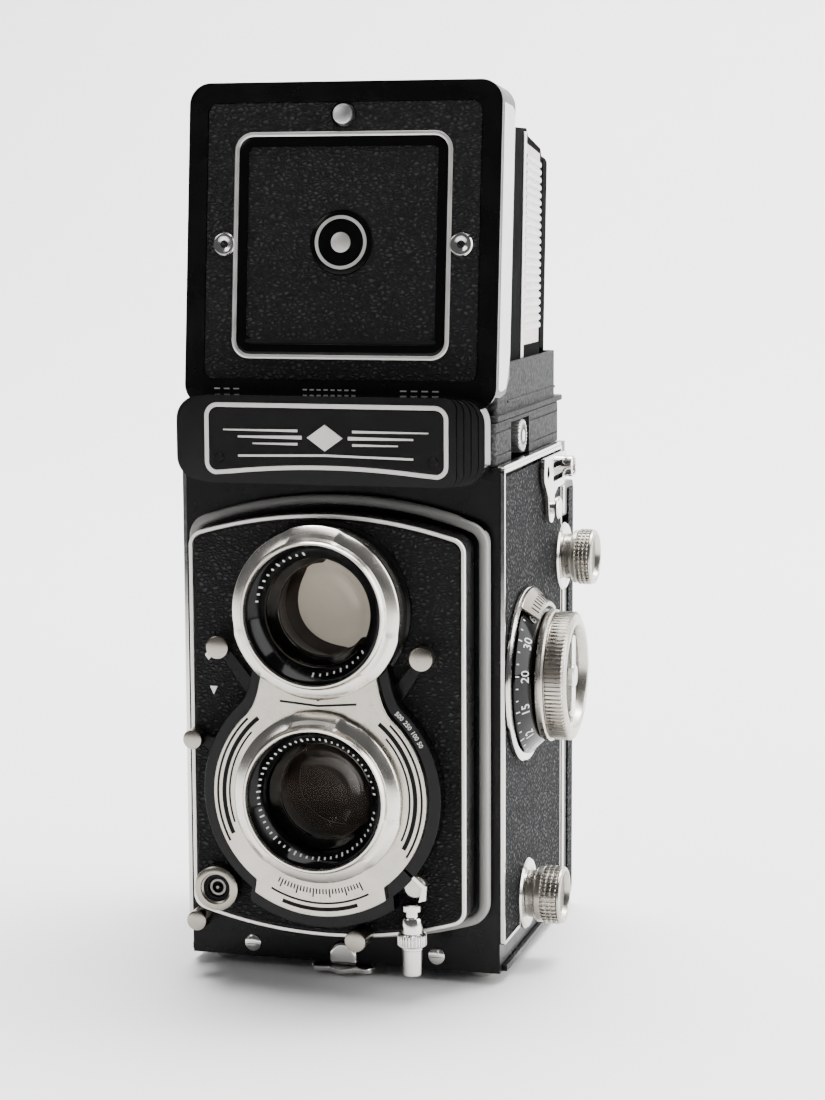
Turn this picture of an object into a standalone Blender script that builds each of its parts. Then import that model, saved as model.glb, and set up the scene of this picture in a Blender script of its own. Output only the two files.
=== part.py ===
"""Twin lens reflex camera: body, two lenses on a focusing front, folding hood and hinged back.

Lengths are in millimetres here and turned into metres as each mesh is made. In the camera's own
frame Y is 0 at the front wall, Z is 0 at the bottom edge of the side walls and X is 0 midway
between the sides. The lenses look along -Y. The focusing side, with its three knobs, is +X and
the winding side is -X. STAND moves the finished camera so that the origin lies on the table,
under the middle of its box.
"""

import math

import bmesh
import bpy
from mathutils import Matrix, Vector

MM = 0.001
GAP = 0.3
FOOT_HEIGHT = 2.7

# body
HALF_WIDTH = 38.5
WALL_X = 37.4
INNER_X = 35.2
FRONT_WALL_Y = 2.2
SHOULDER_Z = 117.0
COVER_FRONT_Y = 61.0
COVER_REAR_Y = 74.7
COVER_WALL = 1.2
COVER_TOP_Z = 107.0
FLOOR_Z = 1.4
BACK_HINGE = (0.0, 71.9, 110.0)
KNUCKLE_RADIUS = 2.1
KNUCKLE_SPLIT_X = 20.3
TRIPOD_CENTRE = (0.0, 38.5)
BUSH_RADIUS = 6.0
SCREEN_Z = 127.2

# optics
TAKING_Z = 43.7
VIEWING_Z = 85.7
LENS_FRONT_Y = -23.3
RING_RADIUS = 19.0
RING_BORE = 15.6
PLATE_FRONT_Y = -12.2
PLATE_BACK_Y = -4.3
FILM_Y = 60.0
FRAME_HALF = 28.0

# film transport
SUPPLY_AXIS = (22.0, 13.6)
TAKE_UP_AXIS = (62.0, 89.0)
SPINDLE_HOLE = 2.7
SPOOL_HALF = 32.8
SUPPLY_FLANGE = 12.0
TAKE_UP_FLANGE = 11.1

# knobs and side fittings
FOCUS_AXIS = (20.5, 66.7)
SIDE_TOP_X = 38.8
KNOB_FACE_X = 51.0
THUMBWHEEL_AXIS = (29.5, 121.8)
COUNTER_AXIS = (40.5, 92.0)

# hood
LID_HINGE = (0.0, 4.4, 136.0)
LID_OPEN = 84.4
LID_TOP_Z = 141.5
LID_SKIN = 1.2
LID_HALF = 36.9
LID_FLANGE = 0.85
LID_FRONT_Y = -2.0
LID_REAR_Y = 71.7
LID_RIM_Z = 129.0
HOOD_FLOOR_Z = 128.5
HOOD_TOP_Z = 139.8
FLAP_X = 33.85
FLAP_SKIN = 0.9
FLAP_TOP_Z = 193.4
FOCUS_FLAP_Z = 131.3
WIND_FLAP_Z = 129.9
BACK_FLAP_HINGE = (0.0, 57.9, 136.2)
BACK_FLAP_LEAN = 4.5
BACK_FLAP_LENGTH = 51.2
FINDER_HINGE_Y = 12.9
BUTTON_CENTRE = (0.0, 64.2)
BUTTON_FLANGE = 3.2
MAGNIFIER_HINGE = (0.0, 59.0, 138.6)
MAGNIFIER_STANDS = 88.0
MAGNIFIER_RADIUS = 12.9

Y_MIDDLE = (LENS_FRONT_Y + COVER_REAR_Y) / 2
STAND = Vector((0.0, -Y_MIDDLE, FOOT_HEIGHT)) * MM

COLOURS = {
    "leather": ((0.018, 0.018, 0.019), 0.62, 0.0),
    "black_paint": ((0.012, 0.012, 0.013), 0.38, 0.2),
    "crackle": ((0.06, 0.06, 0.062), 0.5, 0.2),
    "chrome": ((0.78, 0.78, 0.77), 0.14, 1.0),
    "satin": ((0.62, 0.6, 0.57), 0.34, 1.0),
    "brass": ((0.6, 0.45, 0.2), 0.35, 1.0),
    "glass": ((0.1, 0.09, 0.09), 0.04, 0.0),
    "mirror": ((0.9, 0.9, 0.9), 0.02, 1.0),
    "plastic": ((0.02, 0.02, 0.02), 0.3, 0.0),
}


# ---------------------------------------------------------------- helpers


def clear_scene():
    for thing in list(bpy.data.objects):
        bpy.data.objects.remove(thing, do_unlink=True)


def material(finish):
    made = bpy.data.materials.get(finish)
    if made is None:
        made = bpy.data.materials.new(finish)
        made.use_nodes = True
        colour, roughness, metallic = COLOURS[finish]
        shader = made.node_tree.nodes["Principled BSDF"]
        shader.inputs["Base Color"].default_value = (*colour, 1.0)
        shader.inputs["Roughness"].default_value = roughness
        shader.inputs["Metallic"].default_value = metallic
    return made


def turn_about_x(point, pivot, degrees):
    """A point turned about an axis along X through the pivot."""
    offset = Matrix.Rotation(math.radians(degrees), 3, "X") @ (Vector(point) - Vector(pivot))
    return Vector(pivot) + offset


def make(name, shape, finish, origin=(0.0, 0.0, 0.0), tilt=None):
    """An object from a bmesh in millimetres, with its origin on the given point.

    tilt is (pivot, degrees): the piece, modelled lying flat, is turned about X there.
    """
    origin = Vector(origin)
    bmesh.ops.translate(shape, vec=-origin, verts=shape.verts)
    bmesh.ops.scale(shape, vec=(MM, MM, MM), verts=shape.verts)
    bmesh.ops.recalc_face_normals(shape, faces=shape.faces)
    mesh = bpy.data.meshes.new(name)
    shape.to_mesh(mesh)
    shape.free()
    mesh.shade_smooth()
    mesh.set_sharp_from_angle(angle=math.radians(32))
    mesh.materials.append(material(finish))
    piece = bpy.data.objects.new(name, mesh)
    bpy.context.scene.collection.objects.link(piece)
    if tilt:
        pivot, degrees = tilt
        origin = turn_about_x(origin, pivot, degrees)
        piece.rotation_euler = (math.radians(degrees), 0.0, 0.0)
    piece.location = origin * MM + STAND
    return piece


def combine(piece, shape, operation, tilt=None):
    """Cuts a shape out of a piece, or joins it on, with a hidden helper object."""
    name = f"{piece.name}.{operation.lower()}.{len(piece.modifiers)}"
    helper = make(name, shape, "plastic", tilt=tilt)
    helper.hide_render = True
    helper.display_type = "WIRE"
    step = piece.modifiers.new(operation.title(), "BOOLEAN")
    step.operation = operation
    step.solver = "EXACT"
    step.object = helper


def cut(piece, shape, tilt=None):
    combine(piece, shape, "DIFFERENCE", tilt)


def join(piece, shape, tilt=None):
    combine(piece, shape, "UNION", tilt)


def on_axis(axis, u, v, t):
    """The point at (u, v) across an axis and t along it, where (u, v) keep the order X, Y, Z."""
    return {"X": (t, u, v), "Y": (u, t, v), "Z": (u, v, t)}[axis]


def loft(one, two):
    """A solid between two outlines with the same number of points."""
    shape = bmesh.new()
    ends = [[shape.verts.new(point) for point in outline] for outline in (one, two)]
    shape.faces.new(ends[0])
    shape.faces.new(ends[1])
    for i in range(len(one)):
        j = (i + 1) % len(one)
        shape.faces.new((ends[0][i], ends[0][j], ends[1][j], ends[1][i]))
    return shape


def prism(axis, outline, low, high):
    """An outline across an axis, drawn out from low to high along it."""
    return loft(*([on_axis(axis, u, v, t) for u, v in outline] for t in (low, high)))


def box(x, y, z):
    """A box from three (low, high) pairs."""
    return prism("Z", [(x[0], y[0]), (x[1], y[0]), (x[1], y[1]), (x[0], y[1])], *z)


def arc(centre, radius, start, end, steps):
    """Points round a centre, from a start angle to an end angle in degrees."""
    angles = [math.radians(start + (end - start) * i / steps) for i in range(steps + 1)]
    return [(centre[0] + radius * math.cos(a), centre[1] + radius * math.sin(a)) for a in angles]


def circle(centre, radius, steps=40):
    return arc(centre, radius, 0, 360, steps)[:-1]


def rounded(u, v, radius, steps=4):
    """A rectangle from two (low, high) pairs, with round corners."""
    corners = [(u[1], v[1], 0), (u[0], v[1], 90), (u[0], v[0], 180), (u[1], v[0], 270)]
    points = []
    for cu, cv, turn in corners:
        inner_u = cu - math.copysign(radius, cu - sum(u) / 2)
        inner_v = cv - math.copysign(radius, cv - sum(v) / 2)
        points += arc((inner_u, inner_v), radius, turn, turn + 90, steps)
    return points


def cylinder(axis, centre, radius, low, high, steps=32):
    return prism(axis, circle(centre, radius, steps), low, high)


def turned(axis, centre, profile, steps=40):
    """A closed profile of (radius, t) points spun round an axis. Radius 0 closes it on the axis."""
    shape = bmesh.new()
    rings = []
    for radius, t in profile:
        if radius == 0:
            rings.append([shape.verts.new(on_axis(axis, *centre, t))])
        else:
            points = circle(centre, radius, steps)
            rings.append([shape.verts.new(on_axis(axis, u, v, t)) for u, v in points])
    solid = profile[0][0] == 0
    pairs = list(zip(rings, rings[1:])) + ([] if solid else [(rings[-1], rings[0])])
    for one, two in pairs:
        for i in range(steps):
            j = (i + 1) % steps
            corners = [one[i % len(one)], one[j % len(one)], two[j % len(two)], two[i % len(two)]]
            shape.faces.new(list(dict.fromkeys(corners)))
    return shape


def bowed_panel(half, top, crown, bottom, foot, radius=3.5, steps=10):
    """The lens panel's outline: straight sides with an upper and a lower edge that bow outward."""
    points = []
    for z_end, z_mid, sign in ((top, crown, 1), (bottom, foot, -1)):
        rise = abs(z_mid - z_end)
        reach = half - radius * 0.5
        bow = (reach**2 + rise**2) / (2 * rise)
        centre = (0.0, z_mid - sign * bow)
        spread = math.degrees(math.asin(reach / bow))
        points.append((sign * half, z_end - sign * radius))
        points += arc(centre, bow, sign * 90 - spread, sign * 90 + spread, steps)
        points.append((-sign * half, z_end - sign * radius))
    return points


# ---------------------------------------------------------------- body


def body_casting():
    """Front and side walls in one piece, with ears for the take-up spool and a beam for the hinge."""
    walls = box((-WALL_X, WALL_X), (0, COVER_FRONT_Y - GAP), (0, SHOULDER_Z))
    piece = make("body_casting", walls, "black_paint")
    cut(piece, box((-INNER_X, INNER_X), (FRONT_WALL_Y, 80), (-5, 130)))
    cut(piece, box((-50, 50), (FRONT_WALL_Y, 80), (-5, FLOOR_Z + GAP)))
    join(piece, box((-WALL_X, WALL_X), (60.4, 69.4), (108, SHOULDER_Z)))
    for side in (-1, 1):
        wall = sorted((side * INNER_X, side * WALL_X))
        join(piece, prism("X", rounded((59.5, 69.0), (80, 98), 4), *wall))
        cut(piece, cylinder("X", TAKE_UP_AXIS, SPINDLE_HOLE, wall[0] - 1, wall[1] + 1))
        knuckle = sorted((side * KNUCKLE_SPLIT_X, side * 30))
        join(piece, cylinder("X", BACK_HINGE[1:], KNUCKLE_RADIUS, *knuckle, 16))
        join(piece, box(knuckle, (68.5, 71.4), (109.2, 111.6)))
    join(piece, cylinder("X", BACK_HINGE[1:], 0.9, -21, 21, 12))
    cut(piece, cylinder("X", SUPPLY_AXIS, SPINDLE_HOLE, 34, 39))
    cut(piece, cylinder("X", FOCUS_AXIS, 3.1, 34, 39))
    cut(piece, prism("Y", rounded((-29.2, 29.2), (16.8, 98.2), 3), -2, 3))


def leatherette(name, side):
    """Grained covering on one side wall, with holes for the knobs' spindles."""
    low, high = sorted((side * (WALL_X + GAP), side * HALF_WIDTH))
    piece = make(name, prism("X", rounded((1.4, 60.5), (7.8, 115.2), 0.8, 2), low, high), "leather")
    cut(piece, cylinder("X", TAKE_UP_AXIS, 2.9, low - 1, high + 1))
    if side > 0:
        cut(piece, cylinder("X", SUPPLY_AXIS, 2.9, low - 1, high + 1))
        cut(piece, cylinder("X", FOCUS_AXIS, 3.3, low - 1, high + 1))


def screen_housing():
    """The deck under the hood, with a well for the light from the mirror and a recess for the thumbwheel."""
    deck = prism("Z", rounded((-36.0, 36.0), (0.5, 69.0), 2), SHOULDER_Z + GAP, 126.9)
    piece = make("screen_housing", deck, "crackle")
    cut(piece, box((-28.5, 28.5), (7.0, 62.0), (110, 130)))
    cut(piece, box((31.8, 40), (17.0, 35.5), (110, 126.0)))


def thumbwheel():
    rim = [(0, 36.2), (3.6, 36.2), (4.0, 35.8), (4.0, 32.6), (3.6, 32.2), (0, 32.2)]
    origin = (34.2, *THUMBWHEEL_AXIS)
    make("thumbwheel", turned("X", THUMBWHEEL_AXIS, rim, 24), "satin", origin)


def nameplate_housing():
    """The ornament housing above the lenses, with stepped flutes at both ends."""
    front = prism("Y", rounded((-36.3, 36.3), (115.4, 132.6), 3), -11.5, -3.8)
    piece = make("nameplate_housing", front, "black_paint")
    join(piece, box((-34, 34), (-4.2, -GAP), (115.6, 126.9)))
    for side in (-1, 1):
        for step in range(4):
            at = side * (31.2 + 1.35 * step)
            groove_floor = -10.7 + 0.35 * step
            cut(piece, box((at - 0.25, at + 0.25), (-12.5, groove_floor), (110, 140)))


def front_light_trap():
    """Fixed frame on the front wall that the lens panel slides out of."""
    outline = bowed_panel(35.5, 104.0, 110.5, 13.0, 7.2)
    piece = make("front_light_trap", prism("Y", outline, -4.0, -GAP), "crackle")
    cut(piece, prism("Y", rounded((-29.0, 29.0), (17.0, 98.0), 3), -6, 2))


def mirror_and_screen():
    mirror = make("reflex_mirror", box((-28, 28), (-34.6, 34.6), (-1.4, 0)), "mirror")
    mirror.rotation_euler = (math.radians(45), 0, 0)
    mirror.location = Vector((0, 34.2, 85.6)) * MM + STAND
    screen = box((-33.5, 33.5), (6.0, 63.0), (SCREEN_Z, SCREEN_Z + 1.1))
    make("focusing_screen", screen, "glass")


def light_chamber():
    """Tapering tunnel from the taking lens to the film gate."""
    shape = bmesh.new()
    rims = []
    for y, half in ((8.0, 10.5), (FILM_Y - GAP, 29.3), (FILM_Y - GAP, FRAME_HALF), (8.0, 9.3)):
        corners = ((-half, -half), (half, -half), (half, half), (-half, half))
        rims.append([shape.verts.new((x, y, TAKING_Z + z)) for x, z in corners])
    for one, two in zip(rims, rims[1:] + rims[:1]):
        for i in range(4):
            j = (i + 1) % 4
            shape.faces.new((one[i], one[j], two[j], two[i]))
    make("light_chamber", shape, "black_paint")


def hood_base():
    """Ledge and low walls that the hood folds down into, with the lid's two hinge studs."""
    ledge = box((-36.7, 36.7), (0.2, 70.6), (SCREEN_Z + 0.1, HOOD_FLOOR_Z))
    piece = make("hood_base_frame", ledge, "crackle")
    join(piece, box((-35.7, 35.7), (4.0, 65.4), (128, HOOD_TOP_Z)))
    cut(piece, box((-34.9, 34.9), (4.9, 64.5), (HOOD_FLOOR_Z, 145)))
    cut(piece, box((-33.9, 33.9), (5.6, 63.4), (120, 135)))
    notch = BUTTON_FLANGE + 0.6
    cut(piece, box((-notch, notch), (60, 70), (HOOD_TOP_Z - 2.3, 145)))
    for side in (-1, 1):
        join(piece, cylinder("X", LID_HINGE[1:], 1.2, *sorted((side * 35.3, side * 36.7)), 16))


def strap_lug(name, side):
    """Slotted plate that a neck strap's clip hooks over, on its own post."""
    low, high = sorted((side * SIDE_TOP_X, side * (SIDE_TOP_X + 1.1)))
    outline = [(36, 115.6), (36, 110), (40, 107), (40.6, 100.4)]
    outline += [(47.4, 100.4), (48, 106), (59, 106.6), (59, 115.6)]
    piece = make(name, prism("X", outline, low, high), "chrome")
    for z in (109.2, 112.4):
        cut(piece, box((low - 1, high + 1), (45, 56), (z, z + 1.1)))
    join(piece, cylinder("X", (44.0, 102.4), 2.2, *sorted((side * 39.5, side * 41.6)), 20))


# ---------------------------------------------------------------- focusing


def focus_escutcheon():
    """Dial ring on the wall, with the fixed index that reaches over the distance collar."""
    ring = [(20.4, 38.8), (20.4, 39.4), (19.9, 39.8), (3.6, 39.8), (3.6, 38.8)]
    piece = make("focus_escutcheon", turned("X", FOCUS_AXIS, ring, 40), "satin")
    y, z = FOCUS_AXIS
    index = [(39.2, z + 19.3), (39.2, z + 20.2), (40.2, z + 20.2)]
    index += [(44.0, z + 16.9), (44.0, z + 15.9), (40.2, z + 19.3)]
    join(piece, prism("Y", index, y - 3.2, y + 3.2))


def focus_knob():
    origin = (45.0, *FOCUS_AXIS)
    collar = [(18.6, 40.1), (14.8, 43.9), (3.0, 43.9), (3.0, 40.1)]
    make("distance_scale_collar", turned("X", FOCUS_AXIS, collar, 32), "black_paint", origin)
    dish = KNOB_FACE_X - 2.6
    knob = [(0, dish), (11.4, dish), (11.8, KNOB_FACE_X), (13.2, KNOB_FACE_X), (13.8, 50.4)]
    knob += [(13.8, 46.2), (15.4, 45.6), (15.4, 44.6), (14.8, 44.2), (0, 44.2)]
    make("focus_knob", turned("X", FOCUS_AXIS, knob, 32), "satin", origin)
    disc = [(0, 50.4), (2.4, 50.4), (2.4, 49.7), (10.6, 49.5), (10.6, 48.7), (0, 48.7)]
    make("film_reminder_disc", turned("X", FOCUS_AXIS, disc, 24), "black_paint", origin)
    shaft = [(0, 43.8), (2.6, 43.8), (2.6, 31.4), (7.0, 31.4), (7.0, 30.0), (0, 30.0)]
    make("focus_cam_shaft", turned("X", FOCUS_AXIS, shaft, 16), "brass", origin)


def front_standard():
    """The sliding lens panel: a deep front with a skirt that stays inside the light trap."""
    panel = bowed_panel(32.5, 101.8, 107.1, 15.0, 9.7)
    piece = make("front_standard", prism("Y", panel, PLATE_FRONT_Y, PLATE_BACK_Y), "leather")
    join(piece, prism("Y", rounded((-28.6, 28.6), (17.4, 97.6), 3), PLATE_BACK_Y - 1, 7.0))
    cut(piece, box((-26.6, 26.6), (PLATE_FRONT_Y + 2, 20), (19.4, 95.6)))
    for z in (TAKING_Z, VIEWING_Z):
        cut(piece, cylinder("Y", (0, z), RING_BORE, -20, 0))


def shutter_housing():
    ring = [(28.0, -12.5), (RING_BORE, -12.5), (RING_BORE, -17.4), (27.3, -17.4), (28.0, -16.6)]
    piece = make("shutter_housing", turned("Y", (0, TAKING_Z), ring, 40), "black_paint")
    cut(piece, cylinder("Y", (0, VIEWING_Z), RING_RADIUS + GAP, -25, -10, 32))


def shutter_faceplate():
    """Bright face of the shutter, drawn up in a neck to the viewing lens and down in a foot."""
    low, high = -18.6, -17.7
    piece = make("shutter_faceplate", cylinder("Y", (0, TAKING_Z), 25.0, low, high, 40), "satin")
    join(piece, prism("Y", [(-12.5, 67.6), (-19.5, 57.0), (19.5, 57.0), (12.5, 67.6)], low, high))
    foot = [(-16.0, 22.6), (-10.5, 16.4), (10.5, 16.4), (16.0, 22.6), (19.0, 29.0), (-19.0, 29.0)]
    join(piece, prism("Y", foot, low, high))
    cut(piece, cylinder("Y", (0, TAKING_Z), RING_RADIUS + GAP, -25, -10, 32))
    cut(piece, cylinder("Y", (0, VIEWING_Z), RING_RADIUS + GAP, -25, -10, 32))


def lens(name, z, ring_back):
    """One objective: bayonet ring, barrel, and front and rear glass."""
    centre = (0, z)
    ring = [(RING_BORE, ring_back), (RING_RADIUS, ring_back), (RING_RADIUS, -22.2)]
    ring += [(18.2, LENS_FRONT_Y), (16.2, LENS_FRONT_Y), (RING_BORE, -22.6)]
    make(f"{name}_bayonet_ring", turned("Y", centre, ring, 32), "chrome")
    barrel = [(15.3, -21.6), (15.3, -10.0), (11.6, -10.0), (11.6, -2.0), (9.5, -2.0), (9.5, -5.2)]
    barrel += [(8.0, -5.2), (8.0, -13.6), (12.7, -13.6), (12.7, -18.4), (14.6, -21.6)]
    make(f"{name}_lens_barrel", turned("Y", centre, barrel, 24), "black_paint")
    front = [(0, -19.0), (5.0, -18.7), (9.4, -17.6), (12.3, -15.8), (12.3, -14.0), (0, -14.4)]
    make(f"{name}_front_glass", turned("Y", centre, front, 24), "glass")
    rear = [(0, -4.9), (9.2, -4.9), (9.2, -3.4), (0, -2.2)]
    make(f"{name}_rear_glass", turned("Y", centre, rear, 20), "glass")


def lever(name, degrees, reach, radius):
    """A shutter lever turning on the taking axis: a thin arm with an upright finger knob."""
    direction = Vector((math.cos(math.radians(degrees)), math.sin(math.radians(degrees))))
    across = Vector((-direction.y, direction.x))
    inner, half = 28.5, 1.3
    corners = [direction * inner + across * half, direction * reach + across * half]
    corners += [direction * reach - across * half, direction * inner - across * half]
    arm = prism("Y", [(c.x, c.y + TAKING_Z) for c in corners], -13.3, -12.5)
    piece = make(name, arm, "chrome", origin=(0, PLATE_FRONT_Y, TAKING_Z))
    tip = direction * reach
    knob = [(0, -17.2), (radius - 0.5, -17.2), (radius, -16.7), (radius, -12.6), (0, -12.6)]
    join(piece, turned("Y", (tip.x, tip.y + TAKING_Z), knob, 16))


def front_fittings():
    ring = [(0, -13.6), (2.0, -13.6), (2.0, -15.8), (4.6, -15.8), (5.3, -15.2), (5.3, -12.5), (0, -12.5)]
    make("flash_socket", turned("Y", (-25.9, 20.1), ring, 20), "chrome")
    stem = [(0, 19.8), (2.3, 19.8), (2.3, 18.2), (1.5, 18.2), (1.5, 16.8), (2.35, 16.8), (2.35, 13.2)]
    stem += [(3.3, 13.0), (3.3, 10.0), (2.5, 9.8), (2.1, 3.3), (0, 3.3)]
    make("cable_release_socket", turned("Z", (20.9, -15.9), stem, 16), "chrome")
    knob = [(0, -9.4), (2.0, -9.4), (2.4, -9.0), (2.4, -4.3), (0, -4.3)]
    make("double_exposure_lever", turned("Y", (-33.2, 10.2), knob, 16), "chrome", origin=(-33.2, -4.3, 10.2))


# ---------------------------------------------------------------- film transport


def spool(name, axis, flange):
    """A film spool: two flanges on a core, with a drive hole in each end."""
    hole_end, web = 28.0, SPOOL_HALF - 1.0
    half = [(0, hole_end), (2.6, hole_end), (2.6, SPOOL_HALF)]
    half += [(flange, SPOOL_HALF), (flange, web), (5.5, web)]
    profile = half + [(r, -t) for r, t in reversed(half)]
    make(name, turned("X", axis, profile, 24), "black_paint", origin=(0, *axis))


def rollers():
    half = [(0, 34.9), (1.0, 34.9), (1.0, 31.5), (1.9, 31.5)]
    profile = half + [(r, -t) for r, t in reversed(half)]
    for place, axis in (("lower", (57.0, 9.4)), ("upper", (56.4, 75.8))):
        make(f"film_roller_{place}", turned("X", axis, profile, 12), "satin", origin=(0, *axis))


def spool_knob(name, axis, face):
    """Sprung knob that is pulled out to free the end of a spool."""
    profile = [(0, face - 1.6), (5.4, face - 1.6), (5.6, face), (6.2, face), (6.8, face - 0.6)]
    profile += [(6.8, 41.6), (5.6, 41.0), (5.6, 39.2), (2.2, 39.2), (2.2, 31.0), (1.4, 30.0), (0, 30.0)]
    make(name, turned("X", axis, profile, 20), "satin", origin=(40.0, *axis))


def advance_knob():
    axis = TAKE_UP_AXIS
    profile = [(0, 30.0), (1.4, 30.0), (2.2, 31.0), (2.2, 39.0), (10.5, 39.0), (12.0, 40.0)]
    profile += [(12.0, KNOB_FACE_X - 1.2), (11.0, KNOB_FACE_X), (0, KNOB_FACE_X)]
    shape = turned("X", axis, [(r, -t) for r, t in profile], 32)
    make("advance_knob", shape, "satin", origin=(-40.0, *axis))
    dial = [(0, -SIDE_TOP_X), (6.4, -SIDE_TOP_X), (6.4, -39.5), (6.0, -39.9), (0, -39.9)]
    shape = turned("X", COUNTER_AXIS, dial, 20)
    make("exposure_counter_dial", shape, "black_paint", origin=(-39.0, *COUNTER_AXIS))


# ---------------------------------------------------------------- back


def back_cover():
    """Hinged back in one piece with the base plate, like an L seen from the side."""
    corner = 2.4
    outer = rounded((COVER_FRONT_Y, COVER_REAR_Y), (0, COVER_TOP_Z), corner)
    outer = [(COVER_FRONT_Y, z) if y < COVER_FRONT_Y + corner else (y, z) for y, z in outer]
    shell = prism("X", outer, -HALF_WIDTH, HALF_WIDTH)
    piece = make("back_cover", shell, "leather", origin=BACK_HINGE)
    inside = HALF_WIDTH - 0.8
    cut(piece, box((-inside, inside), (50, COVER_REAR_Y - COVER_WALL), (FLOOR_Z, COVER_TOP_Z - 0.8)))
    join(piece, box((-HALF_WIDTH, HALF_WIDTH), (2.6, COVER_FRONT_Y + 1), (0, FLOOR_Z)))
    cut(piece, cylinder("Z", TRIPOD_CENTRE, BUSH_RADIUS + GAP, -1, 3))
    middle = KNUCKLE_SPLIT_X - 0.4
    join(piece, cylinder("X", BACK_HINGE[1:], KNUCKLE_RADIUS, -middle, middle, 16))
    join(piece, box((-middle, middle), (71.6, 74.0), (COVER_TOP_Z - 1, BACK_HINGE[2])))
    cut(piece, cylinder("X", BACK_HINGE[1:], 1.2, -25, 25, 16))
    for side in (-1, 1):
        cut(piece, box(sorted((side * 37, side * 40)), (55, 66.8), (84.6, 99.0)))


def back_fittings():
    """Tripod bush and feet under the base plate, the latch at its front and the pressure plate."""
    bush = [(0, 5.6), (BUSH_RADIUS, 5.6), (BUSH_RADIUS, -GAP), (9.4, -GAP), (9.4, -1.2)]
    bush += [(9.0, -1.6), (3.2, -1.6), (3.2, 4.2), (0, 4.2)]
    make("tripod_bush", turned("Z", TRIPOD_CENTRE, bush, 24), "chrome")
    grip = [(-7.5, -1.0), (-6.5, -3.4), (-3.0, -2.4), (0, -4.6), (3.0, -2.4), (6.5, -3.4)]
    grip += [(7.5, -1.0), (4.0, 6.0), (0, 9.5), (-4.0, 6.0)]
    make("back_latch_lever", prism("Z", grip, -1.6, -GAP), "chrome", origin=(0, 6.0, -1.0))
    plate = box((-30, 30), (60.4, 61.4), (14.5, 73.0))
    make("pressure_plate", plate, "black_paint", origin=(0, 61.0, TAKING_Z))
    foot = [(0, -GAP), (3.6, -GAP), (3.6, -1.6), (2.6, -FOOT_HEIGHT), (0, -FOOT_HEIGHT)]
    for row, y in (("front", 8.0), ("rear", 66.0)):
        for hand, x in (("left", 31.0), ("right", -31.0)):
            make(f"foot_{row}_{hand}", turned("Z", (x, y), foot, 16), "chrome")


# ---------------------------------------------------------------- hood


def hood_lid():
    """Shallow tray that covers the folded hood. It is modelled shut and then swung up about its hinge."""
    tilt = (LID_HINGE, LID_OPEN)
    hinge_y, hinge_z = LID_HINGE[1:]
    panel = rounded((-LID_HALF, LID_HALF), (LID_FRONT_Y, LID_REAR_Y), 5)
    piece = make("hood_lid", prism("Z", panel, hinge_z, LID_TOP_Z), "black_paint", LID_HINGE, tilt)
    skirt = rounded((-LID_HALF, LID_HALF), (hinge_y + 0.4, LID_REAR_Y), 5)
    skirt = [(x, hinge_y) if y < hinge_y + 5.2 else (x, y) for x, y in skirt]
    join(piece, prism("Z", skirt, LID_RIM_Z, hinge_z + 1), tilt)
    inside = LID_HALF - LID_FLANGE
    hollow = rounded((-inside, inside), (-20, LID_REAR_Y - LID_FLANGE), 4.2)
    cut(piece, prism("Z", hollow, 120, LID_TOP_Z - LID_SKIN), tilt)
    for side in (-1, 1):
        cheek = sorted((side * inside, side * LID_HALF))
        join(piece, cylinder("X", (hinge_y, hinge_z), 6.9, *cheek, 24), tilt)
        cut(piece, cylinder("X", (hinge_y, hinge_z), 1.45, cheek[0] - 1, cheek[1] + 1, 16), tilt)
    window = rounded((-23.4, 23.4), (FINDER_HINGE_Y - 0.9, 58.2), 3)
    cut(piece, prism("Z", window, 135, 145), tilt)
    cut(piece, cylinder("Z", BUTTON_CENTRE, 2.6, 135, 145, 24), tilt)


def lid_fittings():
    """The flap over the lid's window, and the button that frees the magnifier."""
    tilt = (LID_HINGE, LID_OPEN)
    outline = rounded((-23.0, 23.0), (FINDER_HINGE_Y, 57.8), 2.6)
    flap = prism("Z", outline, LID_TOP_Z - LID_SKIN, LID_TOP_Z - 0.2)
    hinge = (0.0, FINDER_HINGE_Y, LID_TOP_Z - 0.7)
    make("sports_finder_flap", flap, "leather", hinge, tilt)
    button = [(0, 142.7), (1.9, 142.7), (2.3, 142.3), (2.3, 139.9)]
    button += [(BUTTON_FLANGE, 139.9), (BUTTON_FLANGE, 139.3), (0, 139.3)]
    shape = turned("Z", BUTTON_CENTRE, button, 16)
    make("magnifier_button", shape, "chrome", (*BUTTON_CENTRE, 141.0), tilt)


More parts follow.
